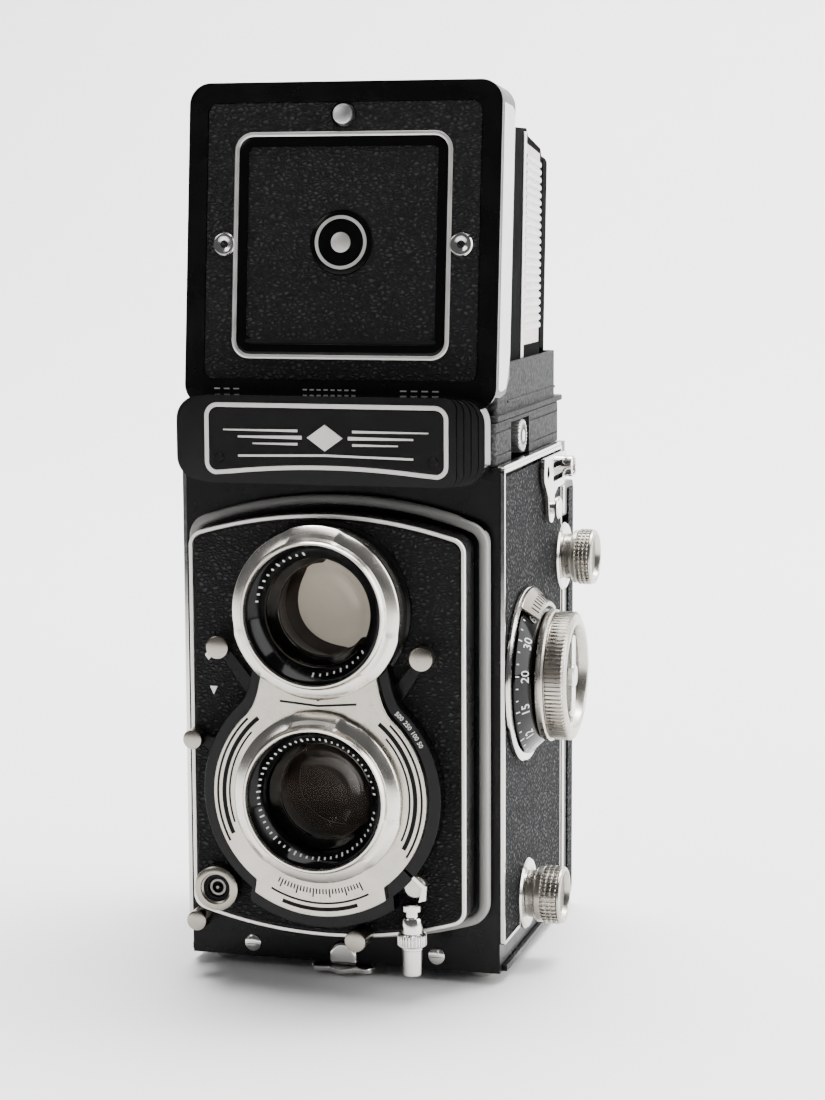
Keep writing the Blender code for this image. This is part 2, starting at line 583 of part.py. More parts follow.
def magnifier():
    """Folding magnifier, modelled along the shut lid and then stood out square from the open one."""
    hinge = Vector(MAGNIFIER_HINGE)
    seat = turn_about_x(hinge, LID_HINGE, LID_OPEN)
    swing = math.radians(LID_OPEN + MAGNIFIER_STANDS)
    y, z = hinge.y, hinge.z
    half = [(9.0, y + 0.8), (9.0, y - 6), (MAGNIFIER_RADIUS, y - 15), (MAGNIFIER_RADIUS, y - 27)]
    outline = half + [(-x, along) for x, along in reversed(half)]
    frame = make("magnifier_arm", prism("Z", outline, z - 0.4, z + 0.4), "black_paint", hinge)
    centre, bore = (0.0, y - 26.5), MAGNIFIER_RADIUS - 1.5
    rim = [(MAGNIFIER_RADIUS, z - 1.3), (MAGNIFIER_RADIUS, z + 0.9), (bore, z + 0.9), (bore, z - 1.3)]
    cut(frame, cylinder("Z", centre, bore, z - 3, z + 3, 28))
    join(frame, turned("Z", centre, rim, 28))
    edge = bore - 0.3
    bulge = [(0, z + 0.9), (6.0, z + 0.6), (edge, z + 0.2), (edge, z - 0.4), (6.0, z - 0.9), (0, z - 1.1)]
    glass = make("magnifier_lens", turned("Z", centre, bulge, 20), "glass", hinge)
    pivot = hinge * MM + STAND
    turn = Matrix.Rotation(swing, 3, "X")
    for thing in (frame, glass, *(step.object for step in frame.modifiers)):
        thing.location = seat * MM + STAND + turn @ (thing.location - pivot)
        thing.rotation_euler = (swing, 0.0, 0.0)


def side_flap(name, side, hinge_z):
    """Upright side wall of the hood on its hinge barrel."""
    x = side * FLAP_X
    front_y, rear_y = 13.6, 53.6
    outline = [(front_y, hinge_z), (18.9, FLAP_TOP_Z), (40.2, FLAP_TOP_Z), (42.0, 191.6)]
    outline += [(55.2, 188.9), (56.9, 186.5), (rear_y, hinge_z)]
    wall = prism("X", outline, x - FLAP_SKIN / 2, x + FLAP_SKIN / 2)
    piece = make(name, wall, "satin", (x, 34.0, hinge_z))
    join(piece, cylinder("Y", (x, hinge_z), 0.7, front_y, rear_y, 12))


def back_flap():
    """Rear wall of the hood with forward flanges. It is modelled folded flat and then swung up."""
    tilt = (BACK_FLAP_HINGE, -(90.0 + BACK_FLAP_LEAN))
    y, z = BACK_FLAP_HINGE[1:]
    far = y - BACK_FLAP_LENGTH
    panel = prism("Z", rounded((-34.3, 34.3), (far, y), 2), z - 4.0, z + 0.4)
    piece = make("hood_back_flap", panel, "black_paint", BACK_FLAP_HINGE, tilt)
    cut(piece, box((-33.4, 33.4), (far - 5, y + 5), (z - 8, z - 0.4)), tilt)
    cut(piece, box((-40, 40), (y - 4.6, y + 5), (z - 8, z - 0.6)), tilt)
    join(piece, cylinder("X", (y, z), 0.7, -33.0, 33.0, 12), tilt)
    cut(piece, cylinder("Z", (0, far + 12), 4.5, z - 3, z + 3, 24), tilt)


# ---------------------------------------------------------------- assembly


def build():
    clear_scene()
    body_casting()
    leatherette("leatherette_focus_side", 1)
    leatherette("leatherette_wind_side", -1)
    screen_housing()
    thumbwheel()
    nameplate_housing()
    front_light_trap()
    mirror_and_screen()
    light_chamber()
    hood_base()
    strap_lug("strap_lug_focus_side", 1)
    strap_lug("strap_lug_wind_side", -1)
    focus_escutcheon()
    focus_knob()
    front_standard()
    shutter_housing()
    shutter_faceplate()
    lens("taking", TAKING_Z, -17.7)
    lens("viewing", VIEWING_Z, -12.5)
    lever("sync_lever", 127.0, 41.0, 2.7)
    lever("aperture_lever", 54.0, 39.6, 2.75)
    lever("speed_lever", 160.0, 32.8, 2.3)
    lever("cocking_lever", -75.6, 33.8, 2.5)
    front_fittings()
    spool("supply_spool", SUPPLY_AXIS, SUPPLY_FLANGE)
    spool("take_up_spool", TAKE_UP_AXIS, TAKE_UP_FLANGE)
    rollers()
    spool_knob("upper_spool_knob", TAKE_UP_AXIS, 47.0)
    spool_knob("lower_spool_knob", SUPPLY_AXIS, 48.0)
    advance_knob()
    back_cover()
    back_fittings()
    hood_lid()
    lid_fittings()
    magnifier()
    side_flap("hood_flap_focus_side", 1, FOCUS_FLAP_Z)
    side_flap("hood_flap_wind_side", -1, WIND_FLAP_Z)
    back_flap()


build()
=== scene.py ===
"""Looks for the twin lens reflex camera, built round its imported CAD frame.

Shapes are drawn in millimetres in the camera's own frame, where Y is 0 at the front wall and Z is 0
at the bottom edge of the side walls. STAND, read from the CAD, moves them into the row frame.
"""

import math

import bmesh
import bpy
from mathutils import Matrix, Vector


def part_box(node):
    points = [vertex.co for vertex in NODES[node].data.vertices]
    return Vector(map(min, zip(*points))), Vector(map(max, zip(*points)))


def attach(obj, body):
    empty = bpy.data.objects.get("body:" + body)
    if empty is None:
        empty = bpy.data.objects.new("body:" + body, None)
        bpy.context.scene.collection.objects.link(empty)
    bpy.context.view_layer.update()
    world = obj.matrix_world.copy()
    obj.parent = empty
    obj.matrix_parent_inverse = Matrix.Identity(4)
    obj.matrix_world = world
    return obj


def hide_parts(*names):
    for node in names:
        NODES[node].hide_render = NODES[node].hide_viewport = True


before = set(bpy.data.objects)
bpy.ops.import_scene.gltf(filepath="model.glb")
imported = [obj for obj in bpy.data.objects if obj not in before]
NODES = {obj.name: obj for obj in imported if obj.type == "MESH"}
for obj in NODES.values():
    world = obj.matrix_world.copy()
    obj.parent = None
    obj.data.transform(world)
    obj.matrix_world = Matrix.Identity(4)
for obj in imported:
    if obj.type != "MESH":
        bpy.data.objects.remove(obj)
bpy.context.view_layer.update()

MM = 0.001
CASTING_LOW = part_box("body_casting")[0]
STAND = Vector((0.0, CASTING_LOW.y, CASTING_LOW.z))
SCENE = bpy.context.scene

# The lens axes are (x, z) places on the front, and LID_BUTTON is an (x, y) place. The other pairs are
# the (y, z) places of axes along X.
TAKING = (0.0, 43.7)
VIEWING = (0.0, 85.7)
FOCUS = (20.5, 66.7)
TAKE_UP = (62.0, 89.0)
SUPPLY = (22.0, 13.6)
COUNTER = (40.5, 92.0)
LID_HINGE = (4.4, 136.0)
LID_TOP = 141.5
LID_BUTTON = (0.0, 64.2)
BACK_FLAP_HINGE = (57.9, 136.2)
MAGNIFIER_HINGE = Vector((0.0, 59.0, 138.6))
LID_SWING = 84.4
RING_SEAT = 19.3
BARREL_BORE = 15.7

CAMERA = "camera_body"
PANEL = "lens_panel"
BACK = "camera_back"
SIDES = ((1, "focus"), (-1, "wind"))
HANDS = ((-1, "right"), (1, "left"))
ALONG_X = Vector((1.0, 0.0, 0.0))


# --- places ---


def turned_about_x(hinge, degrees):
    """The matrix of a turn about an axis along X through a (y, z) place."""
    pivot = Vector((0.0, *hinge))
    turn = Matrix.Rotation(math.radians(degrees), 4, "X")
    return Matrix.Translation(pivot) @ turn @ Matrix.Translation(-pivot)


LID = turned_about_x(LID_HINGE, LID_SWING)
BACK_FLAP = turned_about_x(BACK_FLAP_HINGE, -94.5)
MAGNIFIER = (
    Matrix.Translation(LID @ MAGNIFIER_HINGE)
    @ Matrix.Rotation(math.radians(LID_SWING + 88.0), 4, "X")
    @ Matrix.Translation(-MAGNIFIER_HINGE)
)


# --- outlines ---


def arc(centre, radius, start, end, steps=24):
    """Points round a centre, from a start angle to an end angle in degrees."""
    angles = [math.radians(start + (end - start) * i / steps) for i in range(steps + 1)]
    return [(centre[0] + radius * math.cos(a), centre[1] + radius * math.sin(a)) for a in angles]


def circle(centre, radius, steps=96):
    return arc(centre, radius, 0, 360, steps)[:-1]


def polar2(centre, radius, degrees):
    angle = math.radians(degrees)
    return (centre[0] + radius * math.cos(angle), centre[1] + radius * math.sin(angle))


def span(half):
    return (-half, half)


def band(inner, outer, low, high):
    """The four corners of a flat band's section, for sweep or lathe."""
    return [(outer, low), (outer, high), (inner, high), (inner, low)]


def above(level, *profile):
    """A profile whose places along the axis are measured from a level."""
    return [(radius, level + t) for radius, t in profile]


def flipped(profile, side=-1):
    """A profile turned to face the other way, or left as it is where side is 1."""
    return [(radius, side * t) for radius, t in profile]


def rounded(u, v, radius, steps=8):
    """A rectangle from two (low, high) pairs, with round corners, counterclockwise."""
    points = []
    for cu, cv, turn in ((u[1], v[1], 0), (u[0], v[1], 90), (u[0], v[0], 180), (u[1], v[0], 270)):
        inner_u = cu - math.copysign(radius, cu - sum(u) / 2)
        inner_v = cv - math.copysign(radius, cv - sum(v) / 2)
        points += arc((inner_u, inner_v), radius, turn, turn + 90, steps)
    return points


def bowed(half, top, crown, bottom, foot, radius, steps=28):
    """Straight sides with an upper and a lower edge that bow outward, and round corners."""
    points = []
    for edge, middle, sign in ((top, crown, 1), (bottom, foot, -1)):
        rise = abs(middle - edge)
        bow = (half**2 + rise**2) / (2 * rise)
        centre = (0.0, middle - sign * bow)
        reach = math.sqrt((bow - radius) ** 2 - (half - radius) ** 2)
        spread = math.degrees(math.asin((half - radius) / (bow - radius)))
        middle_angle = 90 if sign > 0 else 270
        first = (sign * (half - radius), centre[1] + sign * reach)
        last = (-first[0], first[1])
        points += arc(first, radius, middle_angle - 90, middle_angle - spread, 8)
        points += arc(centre, bow, middle_angle - spread, middle_angle + spread, steps)[1:-1]
        points += arc(last, radius, middle_angle + spread, middle_angle + 90, 8)
    return points


def bezier(a, b, c, d, steps=10):
    points = []
    for i in range(steps + 1):
        t = i / steps
        weights = ((1 - t) ** 3, 3 * t * (1 - t) ** 2, 3 * t * t * (1 - t), t**3)
        points.append(tuple(sum(w * p[k] for w, p in zip(weights, (a, b, c, d))) for k in (0, 1)))
    return points


def shutter_outline(grow):
    """The shutter's face: a disc with a neck up to the viewing lens and a foot below."""
    cx, cz = TAKING
    radius, foot, neck = 25.0 + grow, 27.7 + grow, 13.4 + 0.75 * grow
    side, ring = 47.0, 19.25
    dip = math.degrees(math.acos(neck / ring))
    high = (neck, 42.0 - ring * math.sin(math.radians(dip)))
    low = (radius * math.cos(math.radians(side)), radius * math.sin(math.radians(side)))
    curve = bezier(low, (low[0] - 2.4, low[1] + 2.6), (high[0] + 0.7, high[1] - 3.6), high)
    points = arc((0, 0), radius, -53, side, 48)
    points += curve[1:-1]
    points += arc((0, 42.0), ring, -dip, dip - 180, 24)
    points += [(-x, z) for x, z in reversed(curve[1:-1])]
    points += arc((0, 0), radius, 180 - side, 233, 48)
    points += arc((0, 0), foot, 236, 304, 36)
    return [(cx + x, cz + z) for x, z in points]


def offset(outline, distance):
    """An outline moved outward by a distance, with mitred corners."""
    count = len(outline)
    pairs = zip(outline[-1:] + outline[:-1], outline)
    area = sum(one[0] * two[1] - two[0] * one[1] for one, two in pairs)
    hand = 1 if area > 0 else -1
    moved = []
    for i in range(count):
        a, b, c = Vector(outline[i - 1]), Vector(outline[i]), Vector(outline[(i + 1) % count])
        one, two = (b - a).normalized(), (c - b).normalized()
        n1, n2 = Vector((one.y, -one.x)) * hand, Vector((two.y, -two.x)) * hand
        miter = (n1 + n2) / max(0.3, 1 + n1.dot(n2))
        moved.append(tuple(b + miter * distance))
    return moved


# --- shapes ---


def on_axis(axis, u, v, t):
    """The point at (u, v) across an axis and t along it, where (u, v) keep the order X, Y, Z."""
    return {"X": (t, u, v), "Y": (u, t, v), "Z": (u, v, t)}[axis]


def skin(rings, closed):
    """Faces between rings of points, each to the next; closed joins the last ring to the first."""
    shape = bmesh.new()
    made = [[shape.verts.new(point) for point in ring] for ring in rings]
    pairs = list(zip(made, made[1:])) + ([(made[-1], made[0])] if closed else [])
    for one, two in pairs:
        steps = max(len(one), len(two))
        for i in range(steps):
            j = (i + 1) % steps
            corners = [one[i % len(one)], one[j % len(one)], two[j % len(two)], two[i % len(two)]]
            shape.faces.new(list(dict.fromkeys(corners)))
    if not closed:
        for ring in (made[0], made[-1]):
            if len(ring) > 2:
                shape.faces.new(ring)
    return shape


def prism(axis, outline, low, high):
    """An outline across an axis, drawn out between two places along it."""
    return skin([[on_axis(axis, u, v, t) for u, v in outline] for t in sorted((low, high))], False)


def drill(axis, centre, radius, low, high, steps=96):
    return prism(axis, circle(centre, radius, steps), low, high)


def sweep(axis, outline, profile):
    """A closed profile of (outward distance, t) points carried round a closed outline."""
    rings = []
    for outward, t in profile:
        rings.append([on_axis(axis, u, v, t) for u, v in offset(outline, outward)])
    return skin(rings, True)


def lathe(axis, centre, profile, steps=96, swell=None):
    """A profile of (radius, t) points spun round an axis; ends on radius 0 close it.

    A third number in a point is its share of swell(angle), which is added to the radius.
    """
    rings = []
    for radius, t, *share in profile:
        if radius == 0:
            rings.append([on_axis(axis, *centre, t)])
            continue
        angles = [360 * i / steps for i in range(steps)]
        reach = [radius + (share[0] * swell(angle) if share else 0) for angle in angles]
        rings.append([on_axis(axis, *polar2(centre, r, angle), t) for r, angle in zip(reach, angles)])
    return skin(rings, profile[0][0] != 0)


def rod(axis, centre, radius, low, high, steps=48):
    low, high = sorted((low, high))
    return lathe(axis, centre, [(0, low), (radius, low), (radius, high), (0, high)], steps)


def box(x, y, z):
    left, right = sorted(x)
    return prism("Z", [(left, y[0]), (right, y[0]), (right, y[1]), (left, y[1])], *z)


def knurled(axis, centre, radius, depth, low, high, teeth, chamfer=0.25, bore=0.0):
    """A band of straight teeth round an axis, with chamfered ends."""
    def ring(reach, t):
        points = []
        for i in range(teeth):
            for part, height in ((0.0, 0.0), (0.22, 1.0), (0.58, 1.0), (0.8, 0.0)):
                radius_here = reach - depth + depth * height
                points.append(on_axis(axis, *polar2(centre, radius_here, 360 * (i + part) / teeth), t))
        return points

    rings = [ring(radius - chamfer, low), ring(radius, low + chamfer)]
    rings += [ring(radius, high - chamfer), ring(radius - chamfer, high)]
    if bore:
        inner = [[on_axis(axis, u, v, t) for u, v in circle(centre, bore, 4 * teeth)] for t in (high, low)]
        return skin(rings + inner, True)
    return skin(rings, False)


def merged(shapes):
    """Several separate closed shapes in one mesh."""
    whole = bmesh.new()
    for shape in shapes:
        spare = bpy.data.meshes.new("spare")
        shape.to_mesh(spare)
        shape.free()
        whole.from_mesh(spare)
        bpy.data.meshes.remove(spare)
    return whole


def moved(shape, matrix):
    bmesh.ops.transform(shape, matrix=matrix, verts=shape.verts)
    return shape


def polar(axis, centre, radius, degrees, t):
    return Vector(on_axis(axis, *polar2(centre, radius, degrees), t))


def outward(axis, degrees):
    return polar(axis, (0, 0), 1, degrees, 0)


def sector(centre, inner, outer, start, end, low, high, steps=24, axis="Y"):
    """Part of a flat ring, between two radii and two angles."""
    points = arc(centre, outer, start, end, steps) + arc(centre, inner, end, start, steps)
    return prism(axis, points, low, high)


def digits(text, size):
    """Raised numbers in the XY plane, centred on the origin and facing +Z, in millimetres."""
    curve = bpy.data.curves.new("digits", "FONT")
    curve.body = text
    curve.size = size
    curve.extrude = 0.06
    curve.align_x = "CENTER"
    curve.align_y = "CENTER"
    curve.resolution_u = 3
    holder = bpy.data.objects.new("digits", curve)
    SCENE.collection.objects.link(holder)
    bpy.context.view_layer.update()
    graph = bpy.context.evaluated_depsgraph_get()
    mesh = bpy.data.meshes.new_from_object(holder.evaluated_get(graph))
    shape = bmesh.new()
    shape.from_mesh(mesh)
    bmesh.ops.remove_doubles(shape, verts=shape.verts, dist=1e-4)
    bpy.data.objects.remove(holder)
    bpy.data.curves.remove(curve)
    bpy.data.meshes.remove(mesh)
    return shape


def facing(origin, normal, up):
    """The matrix that puts a shape facing +Z, with +Y up, on a point of a surface."""
    z = Vector(normal).normalized()
    x = Vector(up).cross(z).normalized()
    y = z.cross(x)
    return Matrix.Translation(Vector(origin)) @ Matrix((x, y, z)).transposed().to_4x4()


def tick(size, origin, normal, up):
    """A small flat block on a sloped face."""
    shape = bmesh.new()
    bmesh.ops.create_cube(shape, size=1.0)
    bmesh.ops.scale(shape, vec=size, verts=shape.verts)
    return moved(shape, facing(origin, normal, up))


# --- finishes ---


class Finish:
    """One Principled material whose colour, roughness and bump come from nodes."""

    def __init__(self, name, metallic=0.0, **sockets):
        self.material = bpy.data.materials.new(name)
        self.material.use_nodes = True
        self.tree = self.material.node_tree
        self.shader = self.tree.nodes["Principled BSDF"]
        self.shader.inputs["Metallic"].default_value = metallic
        for socket, value in sockets.items():
            self.shader.inputs[socket.replace("_", " ")].default_value = value
        self.place = self.node("ShaderNodeTexCoord", {}).outputs["Object"]

    def node(self, kind, links, **values):
        """A node with its settings, and each input linked to a socket or set to a constant."""
        made = self.tree.nodes.new(kind)
        for key, value in values.items():
            setattr(made, key, value)
        for socket, source in links.items():
            target = made.inputs[socket]
            if isinstance(source, bpy.types.NodeSocket):
                self.tree.links.new(source, target)
            else:
                target.default_value = source
        return made

    def noise(self, scale, detail=3.0, place=None):
        links = {"Vector": place or self.place, "Scale": scale, "Detail": detail, "Roughness": 0.55}
        return self.node("ShaderNodeTexNoise", links).outputs["Fac"]

    def cells(self, scale, feature="DISTANCE_TO_EDGE", place=None):
        links = {"Vector": place or self.place, "Scale": scale}
        return self.node("ShaderNodeTexVoronoi", links, feature=feature).outputs["Distance"]

    def blend(self, factor, a, b):
        """A colour between two, each a socket or three numbers."""
        ends = [end if isinstance(end, bpy.types.NodeSocket) else (*end, 1.0) for end in (a, b)]
        return self.node("ShaderNodeMix", {0: factor, 6: ends[0], 7: ends[1]}, data_type="RGBA").outputs[2]

    def between(self, value, low, high, new_low=0.0, new_high=1.0):
        links = {"Value": value, "From Min": low, "From Max": high, "To Min": new_low, "To Max": new_high}
        return self.node("ShaderNodeMapRange", links).outputs["Result"]

    def math(self, operation, a, b):
        return self.node("ShaderNodeMath", {0: a, 1: b}, operation=operation).outputs[0]

    def colour(self, source):
        self.tree.links.new(source, self.shader.inputs["Base Color"])

    def rough(self, source):
        self.tree.links.new(source, self.shader.inputs["Roughness"])

    def smeared(self, scale, low, high, detail=3.0):
        """Roughness that wanders between two values, as handling leaves it."""
        self.rough(self.between(self.noise(scale, detail), 0.3, 0.7, low, high))

    def bump(self, height, strength, distance):
        links = {"Height": height, "Strength": strength, "Distance": distance}
        made = self.node("ShaderNodeBump", links)
        self.tree.links.new(made.outputs["Normal"], self.shader.inputs["Normal"])


def shade(colour, factor):
    return [factor * part for part in colour]


def leather(name, painted_crease_shade, painted_crest_light, cell, specular, dull, keen, stretch=(1.0, 1.0, 1.0), turn=(0.0, 0.0, 0.0)):
    """Pebbled bookbinder's cloth: wandering wrinkles round small raised cells, coloured with painted light:
    shade in the creases, lighter crests, and pale flecks on the highest crests as painted glints.
    """
    f = Finish(name, Specular_IOR_Level=specular)
    drift = f.node("ShaderNodeTexNoise", {"Vector": f.place, "Scale": 420.0, "Detail": 2.0}).outputs["Color"]
    pull = f.node("ShaderNodeVectorMath", {0: drift, 1: (0.0011, 0.0011, 0.0011)}, operation="MULTIPLY")
    bent = f.node("ShaderNodeVectorMath", {0: f.place, 1: pull.outputs[0]}, operation="ADD")
    links = {"Vector": bent.outputs[0], "Scale": stretch, "Rotation": turn}
    place = f.node("ShaderNodeMapping", links).outputs["Vector"]
    pebbles = f.between(f.cells(cell, place=place), 0.0, 0.32)
    fine = f.noise(cell * 2.4, 4.0, place)
    height = f.math("ADD", f.math("MULTIPLY", pebbles, 0.75), f.math("MULTIPLY", fine, 0.4))
    patch = f.between(f.noise(38.0), 0.3, 0.7)
    # Painted shade and light: darker down in the creases, lighter up on the crests.
    tone = f.blend(f.between(height, 0.25, 1.0), painted_crease_shade, painted_crest_light)
    tone = f.blend(f.math("MULTIPLY", patch, 0.3), tone, shade(painted_crest_light, 1.5))
    # Painted glints: pale flecks on the highest crests.
    f.colour(f.blend(f.between(height, 0.86, 1.1), tone, shade(painted_crest_light, 12)))
    f.rough(f.between(height, 0.2, 1.1, dull, keen))
    f.bump(height, 1.0, 0.0003)
    return f.material


def enamel(name, colour, low, high, grain=0.06, **sockets):
    """Stove enamel: nearly smooth, with faint handling marks and a few pale specks of wear."""
    f = Finish(name, **sockets)
    speck = f.between(f.noise(900.0, 4.0), 0.74, 0.8, 0.0, 0.25)
    tone = f.blend(f.noise(60.0), colour, shade(colour, 1.35))
    f.colour(f.blend(speck, tone, shade(colour, 4)))
    f.rough(f.between(f.noise(90.0, 5.0), 0.35, 0.65, low, high))
    f.bump(f.noise(2600.0, 2.0), grain, 0.00005)
    return f.material


def crackle(name, colour, low, high, specular):
    """Wrinkle finish: close, shallow pits in a thick grey black coat, coloured with painted shade, darker
    where the coat is low and lighter where it is raised.
    """
    f = Finish(name, Specular_IOR_Level=specular)
    pits = f.between(f.cells(1150.0, "F1"), 0.0, 0.7, 1.0, 0.0)
    height = f.math("ADD", pits, f.math("MULTIPLY", f.noise(3200.0, 3.0), 0.6))
    depth = f.between(height, 0.3, 1.2)
    # Painted shade and light: darker low in the wrinkles, lighter on the raised cells.
    f.colour(f.blend(depth, shade(colour, 0.4), shade(colour, 1.9)))
    f.smeared(900.0, low, high)
    f.bump(height, 0.7, 0.00012)
    return f.material


def plated(name, colour, low, high, strength=0.03, turned_round=None):
    """Plated metal: smears in the polish, and fine turning lines round an axis along Y where one is given."""
    f = Finish(name, metallic=1.0)
    f.colour(f.blend(f.noise(90.0, 5.0), shade(colour, 0.86), colour))
    f.smeared(240.0, low, high, 6.0)
    if turned_round:
        shift = (0.0, 0.0, -(turned_round[1] * MM + STAND.z))
        place = f.node("ShaderNodeMapping", {"Vector": f.place, "Location": shift}).outputs["Vector"]
        links = {"Vector": place, "Scale": 900.0, "Distortion": 0.4, "Detail": 2.0}
        lines = f.node("ShaderNodeTexWave", links, wave_type="RINGS", rings_direction="Y").outputs["Fac"]
        f.bump(lines, strength, 0.00004)
    else:
        f.bump(f.noise(1900.0, 3.0), strength, 0.00003)
    return f.material


def painted_mark(name, colour, **sockets):
    f = Finish(name, **sockets)
    f.colour(f.blend(f.noise(700.0), shade(colour, 0.82), colour))
    f.smeared(500.0, 0.4, 0.6)
    return f.material


def clear_glass(name, tint, specular):
    f = Finish(name, Transmission_Weight=1.0, IOR=1.5, Specular_Tint=(*specular, 1.0))
    f.colour(f.blend(f.noise(120.0), tint, [min(1.0, c * 1.04) for c in tint]))
    f.smeared(40.0, 0.0, 0.012, 2.0)
    return f.material


def ground_glass():
    """The focusing screen: matt glass with a faint painted glow, emission that stands in for the light on it,
    as if lit through the lens.
    """
    f = Finish("ground_glass", Emission_Strength=0.4)
    pane = f.blend(f.noise(30.0), (0.62, 0.61, 0.57), (0.74, 0.73, 0.7))
    f.colour(pane)
    # The pane's colour feeds the emission too: a painted glow, not a lamp.
    f.tree.links.new(pane, f.shader.inputs["Emission Color"])
    f.smeared(400.0, 0.45, 0.6)
    f.bump(f.noise(5200.0, 2.0), 0.12, 0.00003)
    return f.material


LEATHER = leather(
    "panel_leather", (0.0012, 0.0012, 0.0012), (0.0044, 0.0044, 0.0046), 720.0, 0.16, 0.7, 0.3,
    stretch=(1.0, 1.0, 1.7), turn=(0.0, 0.5, 0.0),
)
SIDE_LEATHER = leather(
    "side_leather", (0.0016, 0.0017, 0.0019), (0.0066, 0.007, 0.0078), 950.0, 0.1, 0.9, 0.45
)
BLACK = enamel("black_enamel", (0.0018, 0.0018, 0.0019), 0.22, 0.34, Specular_IOR_Level=0.14)
INNER_BLACK = enamel("inner_black", (0.004, 0.004, 0.004), 0.55, 0.7, Specular_IOR_Level=0.12)
FLOCK = enamel("matt_black", (0.004, 0.004, 0.004), 0.85, 0.98, Specular_IOR_Level=0.02)
GLOSS = enamel("gloss_black", (0.0016, 0.0016, 0.0017), 0.05, 0.13, 0.02, Specular_IOR_Level=0.15)
POLISHED = enamel("polished_black", (0.0016, 0.0016, 0.0017), 0.05, 0.12, 0.02, Specular_IOR_Level=0.22)
CRACKLE = crackle("crackle_enamel", (0.024, 0.0245, 0.025), 0.55, 0.72, 0.1)
RIM_GREY = enamel("rim_enamel", (0.185, 0.182, 0.174), 0.3, 0.42, 0.12)
CHROME = plated("bright_chrome", (0.68, 0.665, 0.64), 0.07, 0.2)
SATIN = plated("satin_chrome", (0.5, 0.47, 0.42), 0.22, 0.34)
TURNED = plated("turned_chrome", (0.33, 0.3, 0.26), 0.18, 0.3)
RING = plated("ring_chrome", (0.7, 0.66, 0.6), 0.17, 0.29)
FACEPLATE = plated("brushed_face", (0.5, 0.465, 0.41), 0.2, 0.32, 0.12, turned_round=TAKING)
LINE = plated("trim_line", (0.72, 0.7, 0.66), 0.34, 0.48, strength=0.0)
RIBS = plated("rib_metal", (0.68, 0.68, 0.67), 0.28, 0.44)
STEEL = plated("dark_steel", (0.2, 0.185, 0.17), 0.32, 0.48)
BLADE = enamel("blade_black", (0.01, 0.0065, 0.005), 0.34, 0.44, 0.0, Specular_IOR_Level=0.12)
BRASS = plated("brass", (0.62, 0.46, 0.22), 0.28, 0.44)
MIRROR = plated("silvered_mirror", (0.9, 0.9, 0.89), 0.01, 0.04, strength=0.0)
MARK = painted_mark("white_paint", (0.82, 0.81, 0.78))
INK = painted_mark("black_ink", (0.006, 0.006, 0.006), Specular_IOR_Level=0.08)
PLASTIC = enamel("spool_plastic", (0.02, 0.02, 0.021), 0.3, 0.42)
TUBE = enamel("brown_black", (0.012, 0.0068, 0.005), 0.26, 0.4, 0.0, Specular_IOR_Level=0.16)
LENS = clear_glass("lens_glass", (0.93, 0.89, 0.84), (0.09, 0.075, 0.065))
LOUPE = clear_glass("loupe_glass", (0.95, 0.96, 0.95), (1.0, 1.0, 1.0))
RED = enamel("red_lacquer", (0.1, 0.012, 0.016), 0.12, 0.24, Coat_Weight=0.6)
SCREEN = ground_glass()


# --- making pieces ---


def as_object(name, shape, place):
    """A shape in millimetres as an object in the row frame, after its own turn if it has one."""
    if place is not None:
        moved(shape, place)
    bmesh.ops.scale(shape, vec=(MM, MM, MM), verts=shape.verts)
    bmesh.ops.translate(shape, vec=STAND, verts=shape.verts)
    bmesh.ops.recalc_face_normals(shape, faces=shape.faces)
    mesh = bpy.data.meshes.new(name)
    shape.to_mesh(mesh)
    shape.free()
    mesh.shade_smooth()
    made = bpy.data.objects.new(name, mesh)
    SCENE.collection.objects.link(made)
    return made


def soften(made, width, segments, sharp):
    edges = made.modifiers.new("edges", "BEVEL")
    edges.width = width * MM
    edges.segments = segments
    edges.limit_method = "ANGLE"
    edges.angle_limit = math.radians(sharp)
    return edges


def piece(
    name, shape, finish, body, stands_for=None, joins=(), cuts=(), bevel=0.0, segments=3, place=None, sharp=35
):
    """A finished piece: its cuts, joins and soft edges become real mesh, and it rides on a body.

    stands_for is the CAD node that it replaces, where there is one.
    """
    made = as_object(name, shape, place)
    helpers = []
    for operation, extras in (("UNION", joins), ("DIFFERENCE", cuts)):
        for extra in extras:
            helper = as_object("helper", extra, place)
            helpers.append(helper)
            step = made.modifiers.new(operation, "BOOLEAN")
            step.operation = operation
            step.solver = "EXACT"
            step.object = helper
    if bevel:
        soften(made, bevel, segments, sharp).harden_normals = True
    if made.modifiers:
        bpy.context.view_layer.update()
        graph = bpy.context.evaluated_depsgraph_get()
        final = bpy.data.meshes.new_from_object(made.evaluated_get(graph))
        made.modifiers.clear()
        made.data = final
    if not bevel:
        made.data.set_sharp_from_angle(angle=math.radians(sharp))
    for helper in helpers:
        bpy.data.objects.remove(helper)
    made.data.materials.clear()
    made.data.materials.append(finish)
    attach(made, body)
    if stands_for:
        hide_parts(stands_for)


def keep(node, finish, bevel=0.0):
    """A CAD node that stays, with softened edges and a proper finish."""
    kept = NODES[node]
    kept.data.materials.clear()
    kept.data.materials.append(finish)
    if bevel:
        weld = kept.modifiers.new("weld", "WELD")
        weld.merge_threshold = 1e-6
        flat = kept.modifiers.new("flat", "DECIMATE")
        flat.decimate_type = "DISSOLVE"
        flat.angle_limit = math.radians(1)
        soften(kept, bevel, 2, 35)


# --- body ---


